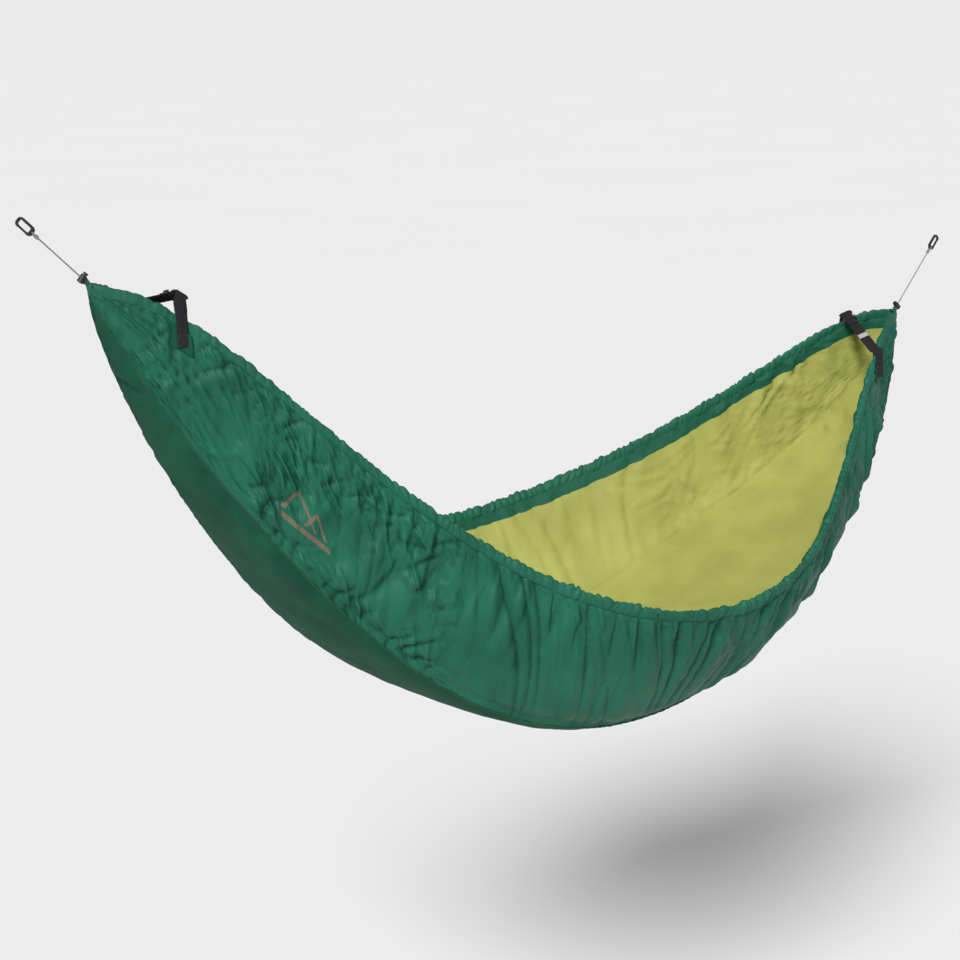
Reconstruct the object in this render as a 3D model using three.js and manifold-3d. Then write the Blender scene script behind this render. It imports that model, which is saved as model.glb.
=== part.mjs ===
// Hanging camp quilt (hammock underquilt), modelled in its slung, in-use shape.
// Frame: origin on the seat of the foot hook, +X towards the head end, +Z up, -Y the near side.
// All lengths are in millimetres.
import * as THREE from 'three';
import { mergeVertices } from 'three/addons/utils/BufferGeometryUtils.js';
import Module from 'manifold-3d';

const wasm = await Module();
wasm.setup();

// ---------------------------------------------------------------- driving dimensions

const SPAN = 2350; // foot tip to head tip, level
const HEAD_TIP_DROP = 270; // head tip below foot tip
const FOOT_REACH = 185; // hook seat to foot tip
const HEAD_REACH = 235; // hook seat to head tip
const FOOT_PITCH = 43; // degrees, slope of the foot end cord
const HEAD_PITCH = 49; // degrees, slope of the head end cord

// Each profile is a hump along the quilt: height at mid length, fullness of the ends, lean
// towards the head, spread towards both ends, and skew.
const EDGE_HALF_WIDTH = { height: 510, fullness: 0.52, lean: 0.07, spread: -1.36, skew: -0.09 };
const EDGE_DROP = { height: 620, fullness: 2.04, lean: 0.12, spread: 0.59, skew: 0.06 };
const CHINE_HALF_WIDTH = { height: 310, fullness: 0.83, lean: 0.07, spread: -0.04, skew: -0.02 };
const CHINE_DROP = { height: 915, fullness: 0.7, lean: 0, spread: -0.19, skew: 0.065 };
const KEEL_SAG = 22; // keel below the line between the chines, at mid length
const SIDE_BULGE = 16; // side panels' outward crown, at mid length

const SKIN = 1.2; // shell and lining solids
const LOFT = 15; // batting at its fullest
const LOFT_EDGE = 3; // batting where it is stitched down
const LAYER_GAP = 0.4;
const PANEL_START = 0.05; // share of the length given to each gathered end
const CHANNEL_START = 0.057; // the edge channels stop a little short of the gathered ends
const STATIONS = 24; // steps along a panel

const CHANNEL_HEIGHT = 26; // gathered edge channel
const CHANNEL_THICKNESS = 10;
const EDGE_CORD = 4; // elastic cord in the edge channels
const EDGE_BORE = 6.4;
const END_CORD = 3; // elastic cord to the hooks
const HEM_TIP_RADIUS = 7;

const WEBBING_WIDTH = 25;
const WEBBING_THICKNESS = 1.5;
const FOOT_STRAP_AT = 0.066; // share of the span
const HEAD_STRAP_FAR_AT = 0.953;
const HEAD_STRAP_NEAR_AT = 0.912;
const FOOT_RING_RISE = 38; // strap ring above the edge
const HEAD_RING_RISE = 10;
const SEWN_RISE = 3; // strap above the edge it is sewn to
const SEWN_LENGTH = 62; // webbing sewn down the outside of a side panel
const PATCH = { width: 44, top: 30, bottom: 72, thickness: 0.8 };

const GAP = 0.4; // clearance between neighbouring pieces
const SEAM_GAP = 1.6; // clearance from an edge channel to its panel's layers

// ---------------------------------------------------------------- colours

const finish = (color, roughness, metalness = 0) => ({ color, roughness, metalness });
const SHELL_GREEN = finish(0x2c6b54, 0.55);
const BOTTOM_GREEN = finish(0x1f4f40, 0.6);
const LINING_LIME = finish(0xc8c878, 0.6);
const FILL_WHITE = finish(0xe8e6de, 0.95);
const WEBBING_BLACK = finish(0x2a2a2c, 0.8);
const MOULDED_BLACK = finish(0x1b1b1d, 0.45);
const CORD_GREY = finish(0x6d6f70, 0.75);
const LABEL_GREY = finish(0xb9bbbd, 0.7);
const SPRING_STEEL = finish(0xb8bbc0, 0.3, 1);

// ---------------------------------------------------------------- geometry helpers

const vec = (x, y, z) => new THREE.Vector3(x, y, z);
const along = (from, direction, distance) => from.clone().addScaledVector(direction, distance);
const mirrored = (point) => vec(point.x, -point.y, point.z);

function closedGeometry(points, triangles) {
  let volume = 0;
  for (const [a, b, c] of triangles) {
    volume += points[a].dot(points[b].clone().cross(points[c]));
  }
  const facing = volume > 0 ? triangles : triangles.map(([a, b, c]) => [a, c, b]);
  const geometry = new THREE.BufferGeometry().setFromPoints(points);
  geometry.setIndex(facing.flat());
  return geometry;
}

// A closed solid through rings of equally many points, capped by a strip at each end. The first
// half of a ring is split along one diagonal and the second half along the other, so that the
// two faces of a layer, and the layers on it, are folded alike.
function loft(rings) {
  const count = rings[0].length;
  const triangles = [];
  for (let i = 0; i + 1 < rings.length; i++) {
    for (let j = 0; j < count; j++) {
      const a = i * count + j;
      const b = i * count + ((j + 1) % count);
      if (j < count / 2) {
        triangles.push([a, b, b + count], [a, b + count, a + count]);
      } else {
        triangles.push([a, b, a + count], [b, b + count, a + count]);
      }
    }
  }
  const last = (rings.length - 1) * count;
  for (let j = 0; j + 1 < count / 2; j++) {
    const k = count - 1 - j;
    triangles.push([j, k - 1, j + 1], [j, k, k - 1]);
    triangles.push([last + j, last + j + 1, last + k - 1], [last + j, last + k - 1, last + k]);
  }
  return closedGeometry(rings.flat(), triangles);
}

function toManifold(geometry) {
  const bare = geometry.clone();
  bare.deleteAttribute('normal');
  bare.deleteAttribute('uv');
  const merged = mergeVertices(bare, 1e-4);
  return new wasm.Manifold(new wasm.Mesh({
    numProp: 3,
    vertProperties: new Float32Array(merged.attributes.position.array),
    triVerts: new Uint32Array(merged.index.array),
  }));
}

function fromManifold(manifold) {
  const mesh = manifold.getMesh();
  const geometry = new THREE.BufferGeometry();
  geometry.setAttribute('position', new THREE.BufferAttribute(mesh.vertProperties.slice(), 3));
  geometry.setIndex(Array.from(mesh.triVerts));
  return geometry;
}

const join = (...geometries) => fromManifold(geometries.map(toManifold).reduce((a, b) => a.add(b)));
const cut = (body, ...tools) =>
  fromManifold(tools.map(toManifold).reduce((a, b) => a.subtract(b), toManifold(body)));

// A box given by its low and high corners.
function block([x0, y0, z0], [x1, y1, z1]) {
  const box = new THREE.BoxGeometry(x1 - x0, y1 - y0, z1 - z0);
  return box.translate((x0 + x1) / 2, (y0 + y1) / 2, (z0 + z1) / 2);
}

// A cylinder from z0 to z1 on the local Z axis, or turned onto X.
const postZ = (radius, z0, z1, sides = 16) =>
  new THREE.CylinderGeometry(radius, radius, z1 - z0, sides)
    .rotateX(Math.PI / 2)
    .translate(0, 0, (z0 + z1) / 2);
const postX = (radius, x0, x1, sides = 12) => postZ(radius, x0, x1, sides).rotateY(Math.PI / 2);

function circleShape(radius, sides) {
  const corners = [];
  for (let i = 0; i < sides; i++) {
    const angle = (2 * Math.PI * i) / sides;
    corners.push(new THREE.Vector2(radius * Math.cos(angle), radius * Math.sin(angle)));
  }
  return new THREE.Shape(corners);
}

const tube = (curve, radius, sides, steps) =>
  new THREE.ExtrudeGeometry(circleShape(radius, sides), { steps, extrudePath: curve });

const quilt = new THREE.Group();

function addMesh(name, geometry, look, parent = quilt) {
  const mesh = new THREE.Mesh(geometry, new THREE.MeshStandardMaterial(look));
  mesh.name = name;
  parent.add(mesh);
  return mesh;
}

// ---------------------------------------------------------------- hull of the quilt

const radians = THREE.MathUtils.degToRad;
const FOOT_PULL = vec(-Math.cos(radians(FOOT_PITCH)), 0, Math.sin(radians(FOOT_PITCH)));
const HEAD_PULL = vec(Math.cos(radians(HEAD_PITCH)), 0, Math.sin(radians(HEAD_PITCH)));
const FOOT_TIP = along(vec(0, 0, 0), FOOT_PULL, -FOOT_REACH);
const HEAD_TIP = vec(FOOT_TIP.x + SPAN, 0, FOOT_TIP.z - HEAD_TIP_DROP);

function hump(profile, t) {
  const u = 2 * t - 1;
  const swell = profile.lean * u + profile.spread * u * u + profile.skew * (4 * u ** 3 - 3 * u);
  return profile.height * (4 * t * (1 - t)) ** profile.fullness * Math.exp(swell);
}

// Stations crowd towards the tips, where the cloth turns fastest.
const spanShare = (s) => (1 - Math.cos(Math.PI * s)) / 2;
const stationAt = (share) => Math.acos(1 - 2 * share) / Math.PI;

function onSection(s, halfWidth, drop) {
  const t = spanShare(s);
  return vec(FOOT_TIP.x + SPAN * t, halfWidth, FOOT_TIP.z - HEAD_TIP_DROP * t - drop);
}

const edgeAt = (s) => {
  const t = spanShare(s);
  return onSection(s, hump(EDGE_HALF_WIDTH, t), hump(EDGE_DROP, t));
};
const chineAt = (s) => {
  const t = spanShare(s);
  return onSection(s, hump(CHINE_HALF_WIDTH, t), hump(CHINE_DROP, t));
};
const sideHeight = (s) => edgeAt(s).distanceTo(chineAt(s));

// Far side panel: w runs from 0 at the edge to 1 at the chine.
function sidePoint(s, w) {
  const edge = edgeAt(s);
  const chine = chineAt(s);
  const run = chine.clone().sub(edge).normalize();
  const crown = SIDE_BULGE * Math.sin(Math.PI * s) * Math.sin(Math.PI * w);
  return edge.lerp(chine, w).add(vec(0, -run.z * crown, run.y * crown));
}

// Bottom panel: w runs from 1 at the far chine to -1 at the near chine.
function bottomPoint(s, w) {
  const chine = chineAt(s);
  const sag = KEEL_SAG * Math.sin(Math.PI * s) * (1 - w * w);
  return vec(chine.x, chine.y * w, chine.z - sag);
}

// Unit normal of a panel surface, pointing into the trough.
function inwardNormal(surface, s, w) {
  const step = 1e-3;
  const ds = surface(s + step, w).sub(surface(s - step, w));
  const dw = surface(s, w + step).sub(surface(s, w - step));
  const normal = ds.cross(dw).normalize();
  const middle = vec(surface(s, w).x, 0, edgeAt(s).z);
  return normal.dot(middle.sub(surface(s, w))) < 0 ? normal.negate() : normal;
}

// Layer direction at a chine: both panels share the mitre between them.
function mitre(s, side, own) {
  const sideNormal = inwardNormal(sidePoint, s, 0.99);
  const bottomNormal = inwardNormal(bottomPoint, s, 0.99);
  const shared = sideNormal.clone().add(bottomNormal).normalize();
  const direction = shared.multiplyScalar(1 / shared.dot(own === 'side' ? sideNormal : bottomNormal));
  return side < 0 ? mirrored(direction) : direction;
}

const endTaper = (s) => Math.min(1, 1.5 * Math.sin(Math.PI * s)) ** 1.5;
const sideTaper = (w) => Math.sin((Math.min(1, 2.5 * w) * Math.PI) / 2);
const loftAt = (s, taper) => LOFT_EDGE + (LOFT - LOFT_EDGE) * endTaper(s) * taper;

// Columns of a panel: a surface point, its layer direction and its batting thickness.
function sideColumn(s, j, rows) {
  const height = sideHeight(s);
  const start = (CHANNEL_HEIGHT + SEAM_GAP) / height;
  const w = j === rows ? 1 - GAP / height : start + ((1 - start) * j) / rows;
  const direction = j === rows ? mitre(s, 1, 'side') : inwardNormal(sidePoint, s, w);
  return { point: sidePoint(s, w), direction, loft: loftAt(s, sideTaper(w)) };
}

function bottomColumn(s, j, rows) {
  const share = 1 - (2 * j) / rows;
  const atChine = j === 0 || j === rows;
  const w = atChine ? share * (1 - GAP / chineAt(s).y) : share;
  const direction = atChine ? mitre(s, share, 'bottom') : inwardNormal(bottomPoint, s, w);
  return { point: bottomPoint(s, w), direction, loft: loftAt(s, 1) };
}

const LAYERS = {
  shell: { from: () => 0, to: () => SKIN },
  batting: { from: () => SKIN + LAYER_GAP, to: (h) => SKIN + LAYER_GAP + h },
  lining: { from: (h) => SKIN + 2 * LAYER_GAP + h, to: (h) => 2 * SKIN + 2 * LAYER_GAP + h },
};

function panel(columnAt, rows, layer) {
  const rings = [];
  for (let i = 0; i <= STATIONS; i++) {
    const s = PANEL_START + ((1 - 2 * PANEL_START) * i) / STATIONS;
    const outer = [];
    const inner = [];
    for (let j = 0; j <= rows; j++) {
      const { point, direction, loft } = columnAt(s, j, rows);
      outer.push(along(point, direction, layer.from(loft)));
      inner.unshift(along(point, direction, layer.to(loft)));
    }
    rings.push([...outer, ...inner]);
  }
  return rings;
}

const nearSide = (rings) => rings.map((ring) => ring.map(mirrored));

const LAYER_LOOKS = {
  shell: { side: SHELL_GREEN, bottom: BOTTOM_GREEN },
  batting: { side: FILL_WHITE, bottom: FILL_WHITE },
  lining: { side: LINING_LIME, bottom: LINING_LIME },
};
for (const [name, layer] of Object.entries(LAYERS)) {
  const look = LAYER_LOOKS[name];
  const side = panel(sideColumn, 4, layer);
  addMesh(`${name}_near`, loft(nearSide(side)), look.side);
  addMesh(`${name}_bottom`, loft(panel(bottomColumn, 4, layer)), look.bottom);
  addMesh(`${name}_far`, loft(side), look.side);
}

// ---------------------------------------------------------------- edge channels and cords

const SEAM_DEPTH = SKIN + LAYER_GAP + LOFT_EDGE / 2; // mid thickness of a panel's stitched edge

// Local frame of the far edge: top of the cloth, down the panel, into the trough, along the edge.
function rim(s) {
  const step = 1e-3;
  const top = edgeAt(s);
  const seam = CHANNEL_HEIGHT / sideHeight(s);
  const down = sidePoint(s, seam).sub(top).normalize();
  const inward = inwardNormal(sidePoint, s, seam / 2);
  const onward = edgeAt(s + step).sub(edgeAt(s - step)).normalize();
  return { top, down, inward, onward };
}

function rimPoint({ top, down, inward }, below, into) {
  return along(along(top, down, below), inward, into);
}

function channelRings(halfHeight, halfThickness, sides, from, to) {
  const rings = [];
  for (let i = 0; i <= STATIONS; i++) {
    const frame = rim(from + ((to - from) * i) / STATIONS);
    const ring = [];
    for (let j = 0; j < sides; j++) {
      const angle = (2 * Math.PI * (j + 0.5)) / sides;
      const below = CHANNEL_HEIGHT / 2 + halfHeight * Math.cos(angle);
      ring.push(rimPoint(frame, below, SEAM_DEPTH + halfThickness * Math.sin(angle)));
    }
    rings.push(ring);
  }
  return rings;
}

const END = 1 - PANEL_START;
const CHANNEL_END = 1 - CHANNEL_START;
const BORE_OVERRUN = 0.003;
const channelBody = channelRings(
  CHANNEL_HEIGHT / 2, CHANNEL_THICKNESS / 2, 10, CHANNEL_START, CHANNEL_END);
const channelBore = channelRings(
  EDGE_BORE / 2, EDGE_BORE / 2, 8, CHANNEL_START - BORE_OVERRUN, CHANNEL_END + BORE_OVERRUN);
const edgeCord = channelRings(EDGE_CORD / 2, EDGE_CORD / 2, 8, CHANNEL_START, CHANNEL_END);
addMesh('edge_channel_near', cut(loft(nearSide(channelBody)), loft(nearSide(channelBore))), SHELL_GREEN);
addMesh('edge_channel_far', cut(loft(channelBody), loft(channelBore)), SHELL_GREEN);
addMesh('edge_cord_near', loft(nearSide(edgeCord)), CORD_GREY);
addMesh('edge_cord_far', loft(edgeCord), CORD_GREY);

// ---------------------------------------------------------------- gathered ends

// The bunched cloth between the last panel station and the tip, drawn in on the end cord.
function gatheredEnd(name, s, tip, pull) {
  const corner = edgeAt(s);
  const waist = sidePoint(s, 0.5);
  const chine = chineAt(s);
  const keel = bottomPoint(s, 0);
  const away = Math.sign(pull.x) * 2 * GAP;
  const mouth = [corner, waist, chine, keel, mirrored(chine), mirrored(waist), mirrored(corner)];
  mouth.push(corner.clone().lerp(mirrored(corner), 0.5));
  for (const point of mouth) {
    point.x += away;
  }
  const up = vec(-pull.z * Math.sign(pull.x), 0, Math.abs(pull.x));
  const collar = [45, 0, -45, -90, -135, -180, -225, -270].map((degrees) => {
    const y = HEM_TIP_RADIUS * Math.cos(radians(degrees));
    return along(along(tip, up, HEM_TIP_RADIUS * Math.sin(radians(degrees))), vec(0, 1, 0), y);
  });
  const rings = [0, 0.3, 0.7, 1].map((share) => {
    const ease = share ** 0.8;
    return mouth.map((point, j) => point.clone().lerp(collar[j], ease));
  });
  addMesh(name, loft(rings), SHELL_GREEN);
}

gatheredEnd('foot_end_hem', PANEL_START, FOOT_TIP, FOOT_PULL);
gatheredEnd('head_end_hem', END, HEAD_TIP, HEAD_PULL);

// ---------------------------------------------------------------- end cords, cord locks, hooks

// A group whose local X runs outwards along an end cord and whose local Z points up.
function pullFrame(origin, pull) {
  const group = new THREE.Group();
  const side = vec(0, Math.sign(pull.x), 0);
  const turn = new THREE.Matrix4().makeBasis(pull, side, pull.clone().cross(side));
  group.position.copy(origin);
  group.quaternion.setFromRotationMatrix(turn);
  quilt.add(group);
  return group;
}

const LOCK = { radius: 6.5, low: -9, high: 7, bore: 4.2, floor: -8, at: 13 };
const PLUNGER = { radius: 3.8, low: -2.6, cap: 5.4, capLow: 9.8, capHigh: 12.6, travel: 2.5 };
const SPRING = { radius: 3.1, wire: 0.45, low: -7.4, high: -5.8, turns: 2 };

function cordLock(end, frame) {
  const throat = END_CORD / 2 + GAP;
  const lock = new THREE.Group();
  lock.position.x = LOCK.at;
  frame.add(lock);
  const barrel = cut(
    postZ(LOCK.radius, LOCK.low, LOCK.high),
    postZ(LOCK.bore, LOCK.floor, LOCK.high + 1),
    postX(throat, -2 * LOCK.radius, 2 * LOCK.radius));
  addMesh(`${end}_cord_lock_body`, barrel, MOULDED_BLACK, lock);
  const slot = block([-9, -throat, -throat], [9, throat, throat + PLUNGER.travel]);
  const stem = cut(postZ(PLUNGER.radius, PLUNGER.low, PLUNGER.capLow + 1), slot);
  const button = postZ(PLUNGER.cap, PLUNGER.capLow, PLUNGER.capHigh);
  addMesh(`${end}_cord_lock_plunger`, join(stem, button), MOULDED_BLACK, lock);
  const coil = [];
  const coilSteps = 10 * SPRING.turns;
  for (let i = 0; i <= coilSteps; i++) {
    const angle = (2 * Math.PI * SPRING.turns * i) / coilSteps;
    const z = SPRING.low + ((SPRING.high - SPRING.low) * i) / coilSteps;
    coil.push(vec(SPRING.radius * Math.cos(angle), SPRING.radius * Math.sin(angle), z));
  }
  const wire = tube(new THREE.CatmullRomCurve3(coil), SPRING.wire, 5, coilSteps);
  addMesh(`${end}_cord_lock_spring`, wire, SPRING_STEEL, lock);
}

// Flat snap hook: a ring with a gap closed by a gate. Local X points at what it hangs from.
const HOOK = { length: 42, width: 20, thickness: 5, seat: 37, lug: 8, wall: 4.5, corner: 5 };
const GATE = { from: 13, to: 32.5, thick: 3.6, depth: 4.2 };

function roundedRectangle(shape, x0, z0, x1, z1, r) {
  shape.moveTo(x0 + r, z0);
  shape.lineTo(x1 - r, z0);
  shape.absarc(x1 - r, z0 + r, r, -Math.PI / 2, 0);
  shape.lineTo(x1, z1 - r);
  shape.absarc(x1 - r, z1 - r, r, 0, Math.PI / 2);
  shape.lineTo(x0 + r, z1);
  shape.absarc(x0 + r, z1 - r, r, Math.PI / 2, Math.PI);
  shape.lineTo(x0, z0 + r);
  shape.absarc(x0 + r, z0 + r, r, Math.PI, 1.5 * Math.PI);
  return shape;
}

// An outline drawn in the local XZ plane, given a thickness centred on Y.
const slab = (shape, thickness) =>
  new THREE.ExtrudeGeometry(shape, { depth: thickness, bevelEnabled: false, curveSegments: 4 })
    .translate(0, 0, -thickness / 2)
    .rotateX(Math.PI / 2);

function snapHook(end, frame, seatAt) {
  const hook = new THREE.Group();
  hook.position.x = seatAt - HOOK.seat;
  frame.add(hook);
  const half = HOOK.width / 2;
  const inside = half - HOOK.wall;
  const outline = roundedRectangle(new THREE.Shape(), 0, -half, HOOK.length, half, HOOK.corner + 3);
  outline.holes.push(roundedRectangle(new THREE.Path(), HOOK.lug, -inside, HOOK.seat, inside, 2));
  const eye = new THREE.Path().absarc(HOOK.lug / 2, 0, 2.2, 0, 2 * Math.PI);
  outline.holes.push(eye);
  const opening = block(
    [GATE.from - GAP, -HOOK.thickness, -half - 1], [GATE.to + GAP, HOOK.thickness, -inside + 0.5]);
  addMesh(`${end}_hook_frame`, cut(slab(outline, HOOK.thickness), opening), MOULDED_BLACK, hook);
  const r = GATE.thick / 2;
  const mid = -half + HOOK.wall / 2;
  const bar = new THREE.Shape();
  bar.moveTo(GATE.from + r, mid - r);
  bar.lineTo(GATE.to, mid - r);
  bar.lineTo(GATE.to, mid + r);
  bar.lineTo(GATE.from + r, mid + r);
  bar.absarc(GATE.from + r, mid, r, Math.PI / 2, 1.5 * Math.PI);
  addMesh(`${end}_hook_gate`, slab(bar, GATE.depth), MOULDED_BLACK, hook);
}

function suspension(end, tip, pull, reach) {
  const frame = pullFrame(tip, pull);
  const cordEnd = reach - HOOK.seat - GAP;
  const line = new THREE.LineCurve3(vec(GAP, 0, 0), vec(cordEnd, 0, 0));
  addMesh(`${end}_end_cord`, tube(line, END_CORD / 2, 8, 16), CORD_GREY, frame);
  cordLock(end, frame);
  snapHook(end, frame, reach);
}

suspension('foot', FOOT_TIP, FOOT_PULL, FOOT_REACH);
suspension('head', HEAD_TIP, HEAD_PULL, HEAD_REACH);

// ---------------------------------------------------------------- cross straps

const RING = { bar: 1.75, length: 13, width: 34 };
const ADJUSTER = { at: 24, length: 18, bar: 3, rail: 2.5, wall: 2 };
const TAIL_END = 62; // folded-back webbing, measured from the ring
const TAIL_RISE = 2.3; // tail layer above the main layer
const LABEL = { length: 20, width: 24, thickness: 0.8, share: 0.56 };
const LOOP_RADIUS = RING.bar * Math.SQRT2 + GAP + WEBBING_THICKNESS / 2;
const WEB_OUT = PATCH.thickness + 4 * GAP + WEBBING_THICKNESS / 2; // webbing centre, off the shell
const FAR = 1;
const NEAR = -1;

// A flat strip of webbing along a path of centre points, each with its width direction.
function webbing(path) {
  const half = WEBBING_WIDTH / 2;
  const rings = path.map(({ point, across }, i) => {
    const before = path[Math.max(0, i - 1)].point;
    const after = path[Math.min(path.length - 1, i + 1)].point;
    const heading = after.clone().sub(before).normalize();
    const flat = across.clone().addScaledVector(heading, -across.dot(heading)).normalize();
    const thick = flat.clone().cross(heading).multiplyScalar(WEBBING_THICKNESS / 2);
    return [[half, 1], [half, -1], [-half, -1], [-half, 1]].map(([w, n]) =>
      along(along(point, flat, w), thick, n));
  });
  return loft(rings);
}

// Webbing sewn down the outside of a side panel and up over its edge channel.
function overEdge(side, s) {
  const frame = rim(s);
  const height = sideHeight(s);
  const place = (point) => (side < 0 ? mirrored(point) : point);
  const across = place(frame.onward);
  const onPanel = [SEWN_LENGTH, 48, 34].map((below) => {
    const w = below / height;
    return along(sidePoint(s, w), inwardNormal(sidePoint, s, w), -WEB_OUT);
  });
  const beyond = CHANNEL_THICKNESS / 2 - SEAM_DEPTH + 3 * GAP + WEBBING_THICKNESS / 2;
  const overChannel = [[26, -beyond], [12, -beyond], [3, -beyond], [-5, -beyond]]
    .map(([below, into]) => rimPoint(frame, below, into));
  return [...onPanel, ...overChannel].map((point) => ({ point: place(point), across }));
}

function rimTop(side, s, rise) {
  const frame = rim(s);
  const top = along(rimPoint(frame, -2.4, SEAM_DEPTH), vec(0, 0, 1), rise);
  return side < 0 ? mirrored(top) : top;
}

// Half a turn of webbing round a bar, from angle a0 to a1 in the strap's own XZ plane.
function turnPath(at, centre, from, to, across) {
  const path = [];
  for (let i = 0; i <= 6; i++) {
    const angle = radians(from + ((to - from) * i) / 6);
    const x = centre + LOOP_RADIUS * Math.cos(angle);
    path.push({ point: at(x, LOOP_RADIUS * Math.sin(angle)), across });
  }
  return path;
}

function patch(name, side, s) {
  const halfShare = PATCH.width / 2 / (SPAN * 0.5 * Math.PI * Math.sin(Math.PI * s));
  const columns = [0, 1, 2, 3];
  const rings = [-1, 0, 1].map((k) => {
    const station = s + k * halfShare;
    const height = sideHeight(station);
    const at = (j, offset) => {
      const w = (PATCH.top + ((PATCH.bottom - PATCH.top) * j) / 3) / height;
      return along(sidePoint(station, w), inwardNormal(sidePoint, station, w), -offset);
    };
    const outer = columns.map((j) => at(j, GAP + PATCH.thickness));
    const inner = columns.map((j) => at(j, GAP)).reverse();
    return [...outer, ...inner];
  });
  addMesh(name, loft(side < 0 ? nearSide(rings) : rings), BOTTOM_GREEN);
}

// A strap across the opening. It is sewn to one edge, passes through a ring held by a tab on
// the other edge, and folds back through a sliding adjuster.
function crossStrap(end, ringSide, ringStation, sewnStation, rise, labelled) {
  const sideName = { [FAR]: 'far', [NEAR]: 'near' };
  const sewnSide = -ringSide;
  const ringTop = rimTop(ringSide, ringStation, rise);
  const sewnTop = rimTop(sewnSide, sewnStation, SEWN_RISE);
  const run = sewnTop.clone().sub(ringTop);
  const runLength = run.length();
  run.normalize();
  const edges = rim(ringStation).onward.clone().add(mirrored(rim(sewnStation).onward));
  const across = edges.addScaledVector(run, -edges.dot(run)).normalize();
  const handed = ringSide; // turns the hardware's own frame so that its Z points up
  const up = run.clone().cross(across).multiplyScalar(handed);
  const at = (x, z) => along(along(ringTop, run, x), up, z);
  const half = RING.length / 2 - RING.bar;

  const tab = [
    ...overEdge(ringSide, ringStation),
    { point: at(-half - 5.5, -LOOP_RADIUS - 0.3 * rise), across },
    ...turnPath(at, -half, 190, 20, across),
    { point: at(-half + 2.7, -LOOP_RADIUS - 1), across },
  ];
  addMesh(`${end}_strap_tab`, webbing(tab), WEBBING_BLACK);

  const strap = [
    ...overEdge(sewnSide, sewnStation),
    { point: at(runLength - 4, 0), across },
    { point: at(runLength * 0.6, 0), across },
    { point: at(TAIL_END, 0), across },
    { point: at(half + 14, 0), across },
    ...turnPath(at, half, -90, -270, across),
    { point: at(half + 14, TAIL_RISE), across },
    { point: at(TAIL_END, TAIL_RISE), across },
  ];
  addMesh(`${end}_cross_strap`, webbing(strap), WEBBING_BLACK);

  const frame = new THREE.Group();
  frame.position.copy(ringTop);
  const turn = new THREE.Matrix4().makeBasis(run, across.clone().multiplyScalar(handed), up);
  frame.quaternion.setFromRotationMatrix(turn);
  quilt.add(frame);
  const x = RING.length / 2;
  const y = RING.width / 2;
  const b = RING.bar;
  const ring = cut(
    block([-x, -y, -b], [x, y, b]),
    block([-x + 2 * b, -y + 2 * b, -b - 1], [x - 2 * b, y - 2 * b, b + 1]));
  addMesh(`${end}_strap_ring`, ring, MOULDED_BLACK, frame);

  const low = -WEBBING_THICKNESS / 2 - GAP;
  const high = TAIL_RISE + WEBBING_THICKNESS / 2 + GAP;
  const inner = WEBBING_WIDTH / 2 + 2 * GAP;
  const outer = inner + ADJUSTER.rail;
  const start = ADJUSTER.at;
  const stop = start + ADJUSTER.length;
  const mid = (start + stop) / 2;
  const adjuster = join(
    block([start, inner, low - ADJUSTER.wall], [stop, outer, high + ADJUSTER.wall]),
    block([start, -outer, low - ADJUSTER.wall], [stop, -inner, high + ADJUSTER.wall]),
    block([start, -outer, low - ADJUSTER.wall], [start + ADJUSTER.bar, outer, low]),
    block([stop - ADJUSTER.bar, -outer, low - ADJUSTER.wall], [stop, outer, low]),
    block([mid - ADJUSTER.bar / 2, -outer, high], [mid + ADJUSTER.bar / 2, outer, high + ADJUSTER.wall]));
  addMesh(`${end}_strap_adjuster`, adjuster, MOULDED_BLACK, frame);

  if (labelled) {
    const from = runLength * LABEL.share;
    const base = WEBBING_THICKNESS / 2 + GAP;
    const tag = block([from, -LABEL.width / 2, base], [from + LABEL.length, LABEL.width / 2, base + LABEL.thickness]);
    addMesh(`${end}_strap_label`, tag, LABEL_GREY, frame);
  }

  patch(`${end}_patch_${sideName[ringSide]}`, ringSide, ringStation);
  patch(`${end}_patch_${sideName[sewnSide]}`, sewnSide, sewnStation);
}

const footStation = stationAt(FOOT_STRAP_AT);
crossStrap('foot', NEAR, footStation, footStation, FOOT_RING_RISE, false);
crossStrap('head', FAR, stationAt(HEAD_STRAP_FAR_AT), stationAt(HEAD_STRAP_NEAR_AT), HEAD_RING_RISE, true);

export default quilt;
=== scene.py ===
# Looks for the hanging camp quilt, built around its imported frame. Metres, in the frame's axes:
# origin on the foot hook's seat, +X to the head end, +Z up, -Y the near side.
import math

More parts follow.
